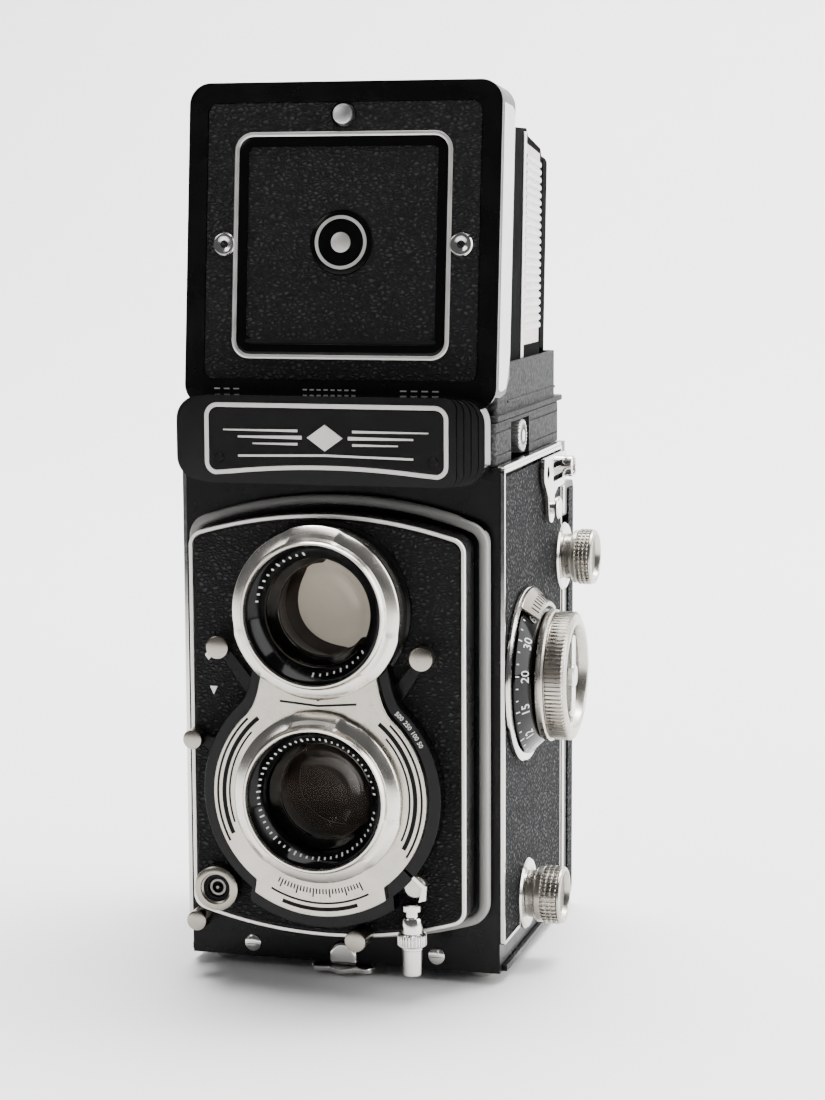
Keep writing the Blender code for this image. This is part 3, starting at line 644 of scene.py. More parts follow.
def build_body():
    keep("body_casting", BLACK, 0.3)
    keep("reflex_mirror", MIRROR)
    keep("light_chamber", INNER_BLACK)
    bores = {"focus": ((TAKE_UP, 2.9), (SUPPLY, 2.9), (FOCUS, 3.3)), "wind": ((TAKE_UP, 2.9),)}
    for side, name in SIDES:
        wall = prism("X", rounded((1.4, 60.5), (7.8, 115), 0.8), side * 37.7, side * 38.35)
        holes = [rod("X", centre, radius, side * 36, side * 40) for centre, radius in bores[name]]
        node = f"leatherette_{name}_side"
        piece(f"leather_{name}_side", wall, SIDE_LEATHER, CAMERA, node, cuts=holes, bevel=0.25)
    frame_line = rounded((0.7, 61), (7, 116.4), 0.6, 3)
    for side, name in SIDES:
        edging = sweep("X", frame_line, band(-0.55, 0.35, side * 37.45, side * 38.45))
        piece(f"edging_{name}_side", edging, CHROME, CAMERA, bevel=0.12, segments=2)
        strip = box((side * 36.6, side * 38.4), (0.9, 60.6), (116.75, 117.5))
        piece(f"shoulder_strip_{name}_side", strip, CHROME, CAMERA, bevel=0.2)
    for side, hand in HANDS:
        x = side * 22.4
        head = lathe("Y", (x, 3.2), [(0, -0.7), (1.3, -0.7), (1.95, -0.35), (2, 0.3), (0, 0.3)], 40)
        slot = box((x - 2.4, x + 2.4), (-1.2, -0.42), (2.95, 3.45))
        piece(f"base_screw_{hand}", head, CHROME, CAMERA, cuts=[slot], bevel=0.06)
    arch = arc((0, 1.9), 3.3, 0, 180, 20) + [(-3.3, -0.2), (3.3, -0.2)]
    piece("latch_stud", prism("Y", arch, -1.5, 0.2), CHROME, CAMERA, bevel=0.9, segments=5, sharp=50)


def build_front_trap():
    outline = bowed(35.5, 104, 110.5, 13, 7.2, 5)
    hole = prism("Y", rounded(span(29), (17, 98), 3), -6, 2)
    plate = prism("Y", offset(outline, -0.2), -3.2, -0.3)
    piece("light_trap_plate", plate, BLACK, CAMERA, "front_light_trap", cuts=[hole], bevel=0.5)
    rim = bowed(34.4, 102.9, 109.4, 14.1, 8.3, 4.2)
    profile = [(1.1, -0.8), (1.15, -3.2), (0.9, -3.75), (0.4, -3.95)]
    profile += [(-0.6, -3.9), (-0.95, -3.6), (-1.1, -2.9), (-1.1, -0.8)]
    piece("light_trap_rim", sweep("Y", rim, profile), RIM_GREY, CAMERA, sharp=60)


def build_nameplate():
    """The fluted housing over the lenses: five stepped layers, a border and a plain ornament."""
    layers = []
    for i in range(5):
        outline = rounded(span(30.2 + 1.5 * i), (113.6 + 0.05 * i, 133.5 - 0.12 * i), 2.6 + 0.7 * i)
        layers.append(prism("Y", outline, -11.5 + 0.62 * i, -3.9 - 0.02 * i))
    layers.append(box(span(34), (-4.4, -0.3), (115.7, 126.8)))
    piece("nameplate_front", layers[0], POLISHED, CAMERA, "nameplate_housing", joins=layers[1:], bevel=0.34)
    half, top, low = 28, 131.3, 115.95
    upper, lower, reach, rise = 2.6, 2.4, 25, 1.55
    border = arc((half - upper, top - upper), upper, 0, 90, 8)
    border += arc((upper - half, top - upper), upper, 90, 180, 8)
    border += arc((lower - half, low + lower), lower, 180, 262, 6)
    border += [(reach * k / 8, low + rise * (1 - (k / 8) ** 2)) for k in range(-7, 8)]
    border += arc((half - lower, low + lower), lower, 278, 360, 6)
    line = sweep("Y", border, band(-0.5, 0.5, -11.3, -11.72))
    piece("nameplate_border", line, LINE, CAMERA, bevel=0.08, segments=2)
    piece("nameplate_field", prism("Y", offset(border, -0.8), -11.66, -11.3), INNER_BLACK, CAMERA, bevel=0.1)
    marks = [prism("Y", [(-4.2, 124.2), (0, 127.2), (4.2, 124.2), (0, 121.2)], -11.86, -11.5)]
    for z, thick, start, end in ((125.7, 0.3, 6.4, 24), (124.2, 0.42, 5.4, 20.5), (122.7, 0.3, 6.4, 17)):
        for side in (-1, 1):
            near, far = side * start, side * end
            points = [(near, z - thick), (far, z - thick / 2), (far, z + thick / 2), (near, z + thick)]
            marks.append(prism("Y", points, -11.84, -11.5))
    underline = [(-20.5, 119.6), (0, 120), (20.5, 119.6), (20.5, 120.1), (0, 120.55), (-20.5, 120.1)]
    marks.append(prism("Y", underline, -11.84, -11.5))
    piece("nameplate_ornament", merged(marks), LINE, CAMERA, bevel=0.06, segments=2)
    screw = [(0, -11.95), (1, -11.95), (1.15, -11.8), (1.15, -11.5), (0, -11.5)]
    for side, hand in HANDS:
        x = side * 25
        head = lathe("Y", (x, 119.3), screw, 28)
        slot = box((x - 1.4, x + 1.4), (-12.4, -11.82), (119.15, 119.45))
        piece(f"nameplate_screw_{hand}", head, GLOSS, CAMERA, cuts=[slot], bevel=0.04)


def build_screen_housing():
    cuts = [box(span(28.5), (7, 62), (110, 130)), box((31.8, 40), (17, 35.5), (110, 126))]
    for z in (119.4, 124.6):
        for x, y in (((35.75, 37), (1.8, 16.4)), ((35.75, 37), (36.4, 67)), ((-37, -35.75), (1.8, 67))):
            cuts.append(box(x, y, (z, z + 0.35)))
    deck = prism("Z", rounded(span(36), (0.5, 69), 2.2), 117.3, 126.9)
    piece("deck", deck, CRACKLE, CAMERA, "screen_housing", cuts=cuts, bevel=0.22, segments=2)
    # The screen's finish carries a painted glow.
    keep("focusing_screen", SCREEN)
    axle = (29.5, 121.8)
    wheel = merged([knurled("X", axle, 4, 0.5, 32.4, 36, 26, 0.3, 3.1), rod("X", axle, 1.4, 32.2, 36.1, 40)])
    piece("knurled_thumbwheel", wheel, RIBS, "finder_thumbwheel", "thumbwheel", sharp=30)
    piece("thumbwheel_web", rod("X", axle, 3.2, 32.6, 35.5, 40), STEEL, "finder_thumbwheel")
    level, thin = (128.25, 128.34), 0.08
    grid = [box((x - thin, x + thin), (7.5, 61.5), level) for x in (-14, 0, 14)]
    grid += [box(span(28), (y - thin, y + thin), level) for y in (20.2, 34.5, 48.8)]
    piece("screen_grid", merged(grid), INK, CAMERA)


def build_hood_base():
    ledge = prism("Z", rounded(span(36.7), (0.2, 70.6), 1.6), 127.3, 128.5)
    walls = prism("Z", rounded(span(35.7), (4, 65.4), 1.2), 128, 139.8)
    cuts = [box(span(34.9), (4.9, 64.5), (128.5, 145)), box(span(33.9), (5.6, 63.4), (120, 135))]
    cuts.append(box(span(3.8), (60, 70), (137.5, 145)))
    studs = [rod("X", LID_HINGE, 1.2, side * 35.3, side * 36.7, 28) for side in (-1, 1)]
    piece("hood_base", ledge, CRACKLE, CAMERA, "hood_base_frame", joins=[walls, *studs], cuts=cuts, bevel=0.2,
          segments=2)
    for side, name in SIDES:
        bead = box((side * 35.65, side * 35.95), (14.5, 64.8), (130.6, 131.2))
        piece(f"hood_base_bead_{name}_side", bead, CRACKLE, CAMERA, bevel=0.12, segments=2)


def build_strap_lugs():
    outline = [(36, 115.6), (35.4, 113), (36, 110), (38.6, 107.6), (40, 106), (40.8, 101.6)]
    outline += arc((43.6, 102.4), 2.9, 200, 340, 12)
    outline += [(46.6, 106), (50, 107.4), (57, 107.4), (60.2, 109), (60.2, 115.6)]
    openings = [rounded((45, 56), (z, z + 1.2), 0.5, 4) for z in (109.4, 112.5)]
    openings.append(circle((39.8, 112), 1.5, 28))
    post = [(0, 41.9), (2.3, 41.9), (2.75, 41.5), (2.75, 41), (1.5, 40.7), (1.4, 39.4), (0, 39.4)]
    cup = [(0, 39.8), (2.6, 39.8), (2.6, 42.1), (2.3, 42.4), (1.95, 42.2), (1.9, 41.6), (0, 41.6)]
    jewel = [(0, 42.1), (1, 42.05), (1.85, 41.7), (1.85, 41.5), (0, 41.5)]
    for side, name in SIDES:
        plate = prism("X", outline[::-1], side * 38.8, side * 39.9)
        slots = [prism("X", opening, side * 37.8, side * 40.9) for opening in openings]
        piece(f"strap_plate_{name}_side", plate, CHROME, CAMERA, f"strap_lug_{name}_side", cuts=slots,
              bevel=0.2)
        for label, centre, profile, steps, finish, sharp in (
            ("strap_post", (43.8, 103.2), post, 40, CHROME, 40),
            ("lug_stud", (57.4, 112), cup, 40, CHROME, 40),
            ("lug_stud_centre", (57.4, 112), jewel, 32, RED, 35),
        ):
            turned = lathe("X", centre, flipped(profile, side), steps)
            piece(f"{label}_{name}_side", turned, finish, CAMERA, sharp=sharp)


# --- lens panel ---


def build_panel():
    outline = bowed(32.5, 101.8, 107.1, 15, 9.7, 3.6)
    skirt = prism("Y", rounded(span(28.6), (17.4, 97.6), 3), -5.3, 7)
    cuts = [box(span(26.6), (-10.2, 20), (19.4, 95.6))]
    cuts += [drill("Y", centre, 15.6, -20, 0) for centre in (TAKING, VIEWING)]
    piece("panel_shell", prism("Y", outline, -12, -4.3), BLACK, PANEL, "front_standard", joins=[skirt],
          cuts=cuts, bevel=0.35)
    line = [(0, -11.8), (0, -12.2), (-0.18, -12.42), (-0.82, -12.42), (-1, -12.2), (-1, -11.8)]
    piece("panel_line", sweep("Y", outline, line), LINE, PANEL, sharp=50)
    holes = [drill("Y", centre, BARREL_BORE, -20, 0) for centre in (TAKING, VIEWING)]
    field = prism("Y", offset(outline, -1.35), -12.36, -11.7)
    piece("panel_leather", field, LEATHER, PANEL, cuts=holes, bevel=0.2)
    collar = [(18.4, -12.1), (18.4, -13.6), (19.5, -13.6), (20.1, -13.2), (20.2, -12.1)]
    piece("viewing_collar", lathe("Y", VIEWING, collar, 120), BLACK, PANEL, sharp=30)


def build_shutter():
    cuts = [drill("Y", VIEWING, RING_SEAT, -25, -10), drill("Y", TAKING, BARREL_BORE, -25, 0)]
    rim = prism("Y", shutter_outline(2.9), -17, -12.5)
    piece("shutter_rim", rim, GLOSS, PANEL, "shutter_housing", cuts=cuts, bevel=0.7, segments=4, sharp=45)
    cuts = [drill("Y", centre, RING_SEAT, -25, -10) for centre in (TAKING, VIEWING)]
    face = prism("Y", shutter_outline(0), -18.55, -16.9)
    piece("shutter_face", face, FACEPLATE, PANEL, "shutter_faceplate", cuts=cuts, bevel=0.25)
    low, high = -18.6, -18.4
    lines = []
    for radius, width, left, right in (
        (22.5, 1, (129, 205), (-29, 51)),
        (24, 0.5, (134, 208), (-32, 46)),
        (21.2, 0.42, (138, 199), (-25, 42)),
    ):
        for start, end in (left, right):
            lines.append(sector(TAKING, radius - width / 2, radius + width / 2, start, end, low, high, 30))
    for i in range(27):
        angle = -116 + 2 * i
        reach = 2 if i % 5 == 1 else 1.2
        lines.append(sector(TAKING, 21.2, 21.2 + reach, angle - 0.42, angle + 0.42, low, high, 2))
    lines.append(sector(TAKING, 24.3, 24.75, -118, -62, low, high))
    lines.append(sector(TAKING, 25.5, 26.4, -110, -70, low, high))
    chevron = [(-9, 65.1), (0, 64.35), (9, 65.1), (9, 65.6), (0, 64.85), (-9, 65.6)]
    diamond = [(0, 65.6), (1.4, 66.5), (0, 67), (-1.4, 66.5)]
    lines += [prism("Y", outline, low, high) for outline in (chevron, diamond)]
    piece("face_engraving", merged(lines), INK, PANEL)
    marks = []
    for text, angle in (("500", 46), ("250", 40), ("100", 34), ("50", 29)):
        place = facing(polar("Y", TAKING, 26.55, angle, -17.03), (0, -1, 0), outward("Y", angle))
        marks.append(moved(digits(text, 1.5), place))
    piece("speed_numbers", merged(marks), MARK, PANEL)
    diamond = [(-28, 72.8), (-27.1, 74), (-28, 75.2), (-28.9, 74)]
    triangle = [(-27.8, 66.8), (-26, 66.8), (-26.9, 64.9)]
    signs = [prism("Y", outline, -12.46, -12.2) for outline in (diamond, triangle)]
    piece("index_signs", merged(signs), MARK, PANEL)


def lug_swell(degrees):
    """1 on each of a bayonet ring's three lugs, 0 between them."""
    nearest = min(abs((degrees - lug + 180) % 360 - 180) for lug in (90, 212, 328))
    return min(1, max(0, (21 - nearest) / 4.5))


def bulge(radii, middle, depth=58):
    """Points of a round glass face; a negative depth bulges it the other way."""
    return [(r, middle + r * r / depth) for r in radii]


def build_lens(name, centre, ring_back, inner):
    """One lens: bayonet ring, barrel, dark liner, two elements and tick marks on the bezel."""
    ring = [(15.6, ring_back), (18.9, ring_back), (18.9, -18.8), (19.45, -18.9, 0.35), (19.45, -20.2, 0.35)]
    ring += [(19.2, -20.55, 0.35), (17.3, -21.65, 0.9), (17, -21.75, 0.3), (16.8, -22.2), (16.6, -22.95)]
    ring += [(16.3, -23.3), (15.95, -23.3), (15.6, -22.6)]
    piece(f"{name}_ring", lathe("Y", centre, ring, 180, lug_swell), RING, PANEL, f"{name}_bayonet_ring",
          sharp=28)
    barrel = [(15.45, -22.1), (15.45, -10), (11.6, -10), (11.6, -2), (9.6, -2), (9.6, -13.3)]
    barrel += [(12.4, -13.3), (12.4, -18.7), (12.7, -19.2), (13, -19.6), (14.8, -21.9), (15.1, -22.2)]
    piece(f"{name}_barrel", lathe("Y", centre, barrel, 144), GLOSS, PANEL, f"{name}_lens_barrel", sharp=28)
    liner = [(9.5, -13.2), (9.5, -5.2), (6.3, -5.2), (6.3, -5.6), (8.4, -7.2)]
    liner += [(8.1, -7.4), (8.7, -8.9), (8.4, -9.1), (9.2, -11), (9.2, -13.2)]
    piece(f"{name}_liner", lathe("Y", centre, liner), TUBE, PANEL, sharp=30)
    front = bulge((0, 2, 4, 6, 8, 10, 11.2, 12.2), -19.5) + [(12.3, -16.8), (12.3, -16.2)]
    front += bulge((12, 10, 8, 6, 4, 2, 0), -13.7, -58)
    piece(f"{name}_front_element", lathe("Y", centre, front), LENS, PANEL, f"{name}_front_glass", sharp=40)
    rear = [(0, -4.95), (4, -4.92), (9.1, -4.8), (9.2, -4.4), (9.2, -3.4), (6, -2.8), (3, -2.4), (0, -2.25)]
    piece(f"{name}_rear_element", lathe("Y", centre, rear, 72), LENS, PANEL, f"{name}_rear_glass", sharp=40)
    ticks = []
    for start, end, pitch in inner:
        for k in range(int((end - start) / pitch) + 1):
            angle = start + k * pitch
            out = outward("Y", angle)
            place = polar("Y", centre, 13.7, angle, -20.55)
            normal = Vector((0, -0.62, 0)) - out * 0.78
            slope = out * 0.62 + Vector((0, -0.78, 0))
            ticks.append(tick((0.34, 0.7 if k % 4 else 1.15, 0.16), place, normal, slope))
    piece(f"{name}_bezel_ticks", merged(ticks), MARK, PANEL)


def build_shutter_blades():
    leaves = []
    for i in range(5):
        start = 72 * i + 20
        points = arc(TAKING, 8.9, start, start + 96, 14)
        points += [polar2(TAKING, 2.2, start + 150), polar2(TAKING, 0.3, start + 40)]
        low = -5.15 + 0.03 * i
        leaves.append(prism("Y", points, low, low + 0.02))
    piece("shutter_leaves", merged(leaves), BLADE, PANEL)
    # A disc with the screen's painted glow inside the viewing lens: a painted reflection of the lit screen
    # seen through it.
    piece("viewing_lens_painted_glow", rod("Y", VIEWING, 9, -2.1, -1.9, 64), SCREEN, PANEL)


def lever(name, node, body, degrees, reach, radius, front):
    """A finger lever on the shutter's rim: a flat arm and a round knob at its end."""
    direction = Vector(polar2((0, 0), 1, degrees))
    across = Vector((-direction.y, direction.x))
    near, far = direction * 27, direction * reach
    corners = [near - across * 1.7, far - across * 1.1, far + across * 1.1, near + across * 1.7]
    arm = prism("Y", [(c.x, c.y + TAKING[1]) for c in corners], -13.4, -12.6)
    piece(f"{name}_arm", arm, BLACK, body, node, bevel=0.15)
    knob = above(front, (0, 0), (radius - 0.5, 0), (radius - 0.12, 0.15), (radius, 0.5))
    knob += [(radius, -12.7), (0, -12.7)]
    piece(f"{name}_knob", lathe("Y", (far.x, far.y + TAKING[1]), knob, 56), TURNED, body, sharp=40)


def build_controls():
    lever("sync", "sync_lever", "sync_selector", 127, 41, 2.7, -16.4)
    lever("aperture", "aperture_lever", "aperture_control", 54, 39.6, 2.75, -16.6)
    lever("speed", "speed_lever", "speed_control", 160, 32.8, 2.3, -16.8)
    lever("cocking", "cocking_lever", "cocking_control", -75.6, 33.8, 2.5, -19.4)
    flash = (-25.9, 20.1)
    ring = [(0, -13), (3.2, -13), (3.2, -15.3), (3.6, -15.5), (3.7, -15.9), (4.6, -15.9)]
    ring += [(5.15, -15.6), (5.3, -15.1), (5.3, -12.5), (0, -12.5)]
    piece("flash_socket_ring", lathe("Y", flash, ring, 72), TURNED, PANEL, "flash_socket", sharp=30)
    well = [(0, -13.05), (2.3, -13.05), (2.3, -14.7), (3.15, -14.9), (3.15, -12.9), (0, -12.9)]
    piece("flash_socket_well", lathe("Y", flash, well, 48), INNER_BLACK, PANEL)
    core = lathe("Y", flash, band(1.4, 1.9, -13.1, -14.3), 40)
    pin = lathe("Y", flash, [(0, -14.6), (0.35, -14.6), (0.5, -14.4), (0.5, -13.1), (0, -13.1)], 24)
    piece("flash_socket_contact", merged([core, pin]), STEEL, PANEL)
    cable = (20.9, -15.9)
    stem = [(0, 19.8), (1.9, 19.8), (2.3, 19.5), (2.3, 18.3), (1.5, 18), (1.5, 16.9), (2.2, 16.7)]
    stem += [(2.4, 16.3), (2.4, 13.2), (2.2, 12.9), (2.2, 10.2), (2.5, 9.9), (2.5, 9.4), (2.3, 9.2)]
    stem += [(2.15, 3.6), (1.9, 3.3), (0, 3.3)]
    piece("cable_socket_stem", lathe("Z", cable, stem, 64), CHROME, PANEL, "cable_release_socket", sharp=32)
    nut = knurled("Z", cable, 3.3, 0.3, 10.1, 13, 28, 0.3, 2)
    piece("cable_socket_nut", nut, CHROME, PANEL, sharp=30)
    piece("cable_socket_bracket", box((19.3, 22.5), (-15.9, -12.2), (16.2, 18)), BLACK, PANEL, bevel=0.3)
    cam = [(0, -16.6), (2.3, -16.6), (2.6, -16.3), (2.6, -14.8), (2.2, -14.4), (1.2, -14.2)]
    cam += [(1.2, -12.3), (0, -12.3)]
    piece("release_crank_disc", lathe("Y", (21.7, 23.8), cam, 48), SATIN, PANEL)
    hook = [(18.9, 27.6), (19.6, 28.3), (24.6, 24.2), (24.4, 20.9), (22.6, 20.3), (23.4, 23.6)]
    piece("release_crank_arm", prism("Y", hook, -17, -16), CHROME, PANEL, bevel=0.2)
    knob = [(0, -9.4), (1.9, -9.4), (2.3, -9.25), (2.4, -8.9), (2.4, -4.3), (0, -4.3)]
    button = lathe("Y", (-33.2, 10.2), knob, 48)
    piece("double_exposure_knob", button, TURNED, "double_exposure_control", "double_exposure_lever")


# --- knobs ---


def build_focus():
    """The focusing knob with its dial ring, index saddle, distance scale and film reminder."""
    ring = [(20.4, 38.75), (20.4, 39.3), (20.1, 39.7), (19.6, 39.85), (3.6, 39.8), (3.6, 38.75)]
    piece("focus_dial_ring", lathe("X", FOCUS, ring, 120), CHROME, CAMERA, "focus_escutcheon")
    section = ((20.35, 39.5), (20.3, 40.3), (19.6, 41), (17, 44), (16.1, 43.9), (18.9, 40.6), (19.3, 39.5))
    saddle = [[polar("X", FOCUS, r, 59 + 62 * i / 24, x) for r, x in section] for i in range(25)]
    piece("focus_index_saddle", skin(saddle, False), TURNED, CAMERA, bevel=0.14, segments=2, sharp=25)
    marks = []
    for angle in range(65, 116, 5):
        out = outward("X", angle)
        size = (0.3, 3 if angle == 90 else 2.2, 0.14)
        normal, slope = out * 0.755 + ALONG_X * 0.655, out * 0.655 - ALONG_X * 0.755
        marks.append(tick(size, polar("X", FOCUS, 18.1, angle, 42.75), normal, slope))
    piece("focus_index_marks", merged(marks), INK, CAMERA)
    collar = [(18.6, 40.15), (18.55, 40.45), (15, 43.85), (14.6, 43.95), (3, 43.95), (3, 40.15)]
    piece("distance_collar", lathe("X", FOCUS, collar, 120), POLISHED, "focusing_knob",
          "distance_scale_collar")
    numbers = []
    for k, text in enumerate(("3", "4", "5", "6", "7", "8", "10", "12", "15", "20", "30", "60")):
        for turn in (0, 9, 18):
            angle = 55 - 27 * k - turn
            out = outward("X", angle)
            normal, slope = out * 0.7 + ALONG_X * 0.714, out * 0.714 - ALONG_X * 0.7
            if turn == 0:
                place = facing(polar("X", FOCUS, 16.5, angle, 42.38), normal, slope)
                numbers.append(moved(digits(text, 3), place))
            size = (0.25, 0.6 if turn else 1, 0.12)
            numbers.append(tick(size, polar("X", FOCUS, 18.15, angle, 40.85), normal, slope))
    piece("distance_numbers", merged(numbers), MARK, "focusing_knob")
    flange = [(14.4, 44.1), (15.2, 44.2), (15.4, 44.5), (15.4, 45.6), (15.1, 46), (14, 46.1)]
    flange += [(3, 46.1), (3, 44.1)]
    piece("focus_knob_flange", lathe("X", FOCUS, flange, 120), SATIN, "focusing_knob", "focus_knob")
    knob = [(0, 48.4), (11, 48.4), (11.5, 48.7), (11.9, 50.7), (12.2, 51), (13.3, 51), (13.9, 50.7)]
    knob += [(14.2, 50.2), (14.2, 46), (0, 46)]
    piece("focus_knob_core", lathe("X", FOCUS, knob, 120), SATIN, "focusing_knob")
    teeth = knurled("X", FOCUS, 15, 0.5, 46.3, 50.5, 92, 0.35, 13.5)
    piece("focus_knob_teeth", teeth, SATIN, "focusing_knob", sharp=30)
    disc = [(0, 50.3), (2.1, 50.3), (2.4, 50), (2.5, 49.3), (10.4, 49.2), (10.7, 48.9)]
    disc += [(10.7, 48.6), (0, 48.6)]
    piece("reminder_disc_face", lathe("X", FOCUS, disc, 80), GLOSS, "reminder_disc", "film_reminder_disc")
    y, z = FOCUS
    grip = prism("X", rounded((y - 2, y + 2), (z - 9.6, z + 9.6), 1.9), 49, 50.2)
    hub = lathe("X", FOCUS, [(0, 50.75), (2.2, 50.75), (2.8, 50.4), (2.9, 49.1), (0, 49.1)], 48)
    piece("reminder_disc_grip", grip, CHROME, "reminder_disc", joins=[hub], bevel=0.3)
    shaft = [(0, 43.8), (2.6, 43.8), (2.6, 31.4), (7, 31.4), (7, 30), (0, 30)]
    piece("focus_shaft", lathe("X", FOCUS, shaft, 48), BRASS, "focusing_knob", "focus_cam_shaft")


def build_spool_knob(name, centre, face, waist):
    """A sprung knob for one spool's end: its outer face and the waist under its three rows of teeth."""
    base = [(8.4, 38.4), (8.4, 38.9), (8, 39.35), (7, 39.45), (6.3, 39.5), (5.9, 39.2), (3, 39.2), (3, 38.4)]
    piece(f"{name}_flange", lathe("X", centre, base, 80), CHROME, CAMERA)
    core = above(face, (0, -1.7), (5, -1.7), (5.3, -1.5), (5.6, -0.2), (5.8, 0), (6.2, 0))
    core += above(face, (6.6, -0.25), (6.7, -0.7), (6.3, -1)) + [(6.3, waist), (6.6, waist - 0.3)]
    core += [(6.6, 41.9), (6.2, 41.5), (5.6, 41.2), (5.6, 39.6), (2.2, 39.6), (2.2, 31), (1.4, 30), (0, 30)]
    node = name.replace("knob", "spool_knob")
    piece(f"{name}_body", lathe("X", centre, core, 80), SATIN, name, node)
    gap = 0.2
    width = (face - 1.5 - waist) / 3
    rows = [waist + 0.1 + k * (width + gap) for k in range(3)]
    teeth = [knurled("X", centre, 6.85, 0.35, low, low + width, 40, 0.12, 6) for low in rows]
    piece(f"{name}_teeth", merged(teeth), SATIN, name, sharp=30)
    disc = above(face, (0, -1.15), (4.6, -1.15), (5.1, -1.3), (5.1, -1.72), (0, -1.72))
    piece(f"{name}_face", lathe("X", centre, disc, 64), STEEL, name)


def build_winding():
    """The winding knob and the exposure counter, which face the wind side, along -X."""
    shaft = [(0, 30), (1.4, 30), (2.2, 31), (2.2, 39), (10.4, 39), (10.7, 39.3), (10.7, 41.4), (11.6, 41.9)]
    shaft += [(11.6, 49.9), (11.2, 50.6), (10.2, 51), (8.4, 51), (8, 50.5), (0, 50.3)]
    core = lathe("X", TAKE_UP, flipped(shaft))
    piece("winding_knob_core", core, SATIN, "winding_knob", "advance_knob")
    teeth = knurled("X", TAKE_UP, 12.15, 0.45, -49.8, -42, 64, 0.3, 11)
    piece("winding_knob_teeth", teeth, SATIN, "winding_knob", sharp=30)
    base = [(13, 38.6), (13, 39.2), (12.6, 39.7), (11.2, 39.8), (11.2, 38.6)]
    piece("winding_knob_base", lathe("X", TAKE_UP, flipped(base)), CHROME, CAMERA)
    bend = ((4.2, 40), (4.9, 60), (5.1, 90), (4.9, 120), (4.2, 140), (3.6, 120), (3.9, 90), (3.6, 60))
    arrow = prism("X", [polar2(TAKE_UP, radius, angle) for radius, angle in bend], -50.62, -50.2)
    piece("winding_knob_mark", arrow, INK, "winding_knob", sharp=60)
    dial = [(0, -39.75), (6.1, -39.7), (6.4, -39.4), (6.4, -38.8), (0, -38.8)]
    piece("counter_dial_face", lathe("X", COUNTER, dial, 72), GLOSS, "counter_dial", "exposure_counter_dial")
    numbers = []
    for k in range(12):
        angle = 90 + 30 * k
        place = facing(polar("X", COUNTER, 4.9, angle, -39.76), (-1, 0, 0), outward("X", angle))
        numbers.append(moved(digits(str(k + 1), 1.7), place))
    piece("counter_dial_numbers", merged(numbers), MARK, "counter_dial")
    bezel = [(7.4, -38.3), (7.4, -39.6), (7.1, -39.95), (6.8, -39.8), (6.65, -39.4), (6.65, -38.3)]
    piece("counter_bezel", lathe("X", COUNTER, bezel, 72), CHROME, CAMERA)


def build_transport():
    for name, centre, flange in (("supply", SUPPLY, 12), ("take_up", TAKE_UP, 11.1)):
        half = [(0, 28), (2.6, 28), (2.6, 32.8), (flange - 0.3, 32.8), (flange, 32.5), (flange, 31.9)]
        half += [(5.9, 31.8), (5.5, 31.4)]
        spool = lathe("X", centre, half + flipped(half)[::-1], 64)
        piece(f"{name}_spool_shape", spool, PLASTIC, f"{name}_reel", f"{name}_spool")
    half = [(0, 34.9), (1, 34.9), (1, 31.5), (1.7, 31.5), (1.9, 31.3)]
    for place, centre in (("lower", (57, 9.4)), ("upper", (56.4, 75.8))):
        roller = lathe("X", centre, half + flipped(half)[::-1], 40)
        piece(f"roller_{place}", roller, SATIN, f"{place}_roller", f"film_roller_{place}")


# --- back ---


def build_back():
    keep("back_cover", BLACK, 0.25)
    keep("pressure_plate", INNER_BLACK, 0.15)
    covering = prism("Y", rounded(span(36.4), (3.4, 101.2), 2.4), 74.55, 74.98)
    piece("back_leather", covering, SIDE_LEATHER, BACK, bevel=0.18)
    for side, name in SIDES:
        for label, y, z, corner, finish in (
            ("edge", (61.2, 62.9), (1, 83.4), 0.3, CHROME),
            ("edge_top", (61.2, 62.9), (99.6, 106.6), 0.3, CHROME),
            ("cheek", (67.6, 73), (2.4, 105.4), 0.8, SIDE_LEATHER),
        ):
            strip = prism("X", rounded(y, z, corner), side * 38.3, side * 38.85)
            piece(f"back_{label}_{name}_side", strip, finish, BACK, bevel=0.15, segments=2)
    bush = [(0, 4.2), (3.2, 4.2)]
    for k in range(6):
        bush += [(3.2, 3.9 - 0.85 * k), (3.6, 3.5 - 0.85 * k), (3.2, 3.1 - 0.85 * k)]
    bush += [(3.3, -1.6), (8.9, -1.6), (9.3, -1.3), (9.4, -0.3), (6, -0.3), (6, 5.6), (0, 5.6)]
    piece("tripod_thread", lathe("Z", (0, 38.5), bush, 72), CHROME, BACK, "tripod_bush", sharp=30)
    foot = [(0, -0.3), (3.5, -0.3), (3.6, -0.5), (3.6, -1.5), (3.3, -1.9), (2.8, -2.55)]
    foot += [(2.5, -2.7), (0, -2.7)]
    for row, y in (("front", 8), ("rear", 66)):
        for side, hand in HANDS[::-1]:
            stud = lathe("Z", (side * 31, y), foot, 48)
            piece(f"foot_stud_{row}_{hand}", stud, CHROME, BACK, f"foot_{row}_{hand}")
    half = [(7.5, -1), (6.9, -2.6), (6, -3.3), (4.6, -2.9), (3, -2.5), (1.6, -3.6)]
    grip = [(-x, y) for x, y in half] + [(0, -4.5)] + half[::-1]
    grip += [(4, 6), (1.4, 9), (0, 9.5), (-1.4, 9), (-4, 6)]
    piece("latch_grip", prism("Z", grip, -1.6, -0.3), CHROME, "latch", "back_latch_lever", bevel=0.35)
    pivot = lathe("Z", (0, 6), [(0, -2.1), (1.5, -2.1), (1.9, -1.8), (1.9, -1.5), (0, -1.5)], 36)
    piece("latch_pivot", pivot, SATIN, "latch")


# --- hood, drawn shut and then swung up ---


def lid_piece(name, shape, finish, node=None, body="lid", **edges):
    piece(name, shape, finish, body, node, place=LID, **edges)


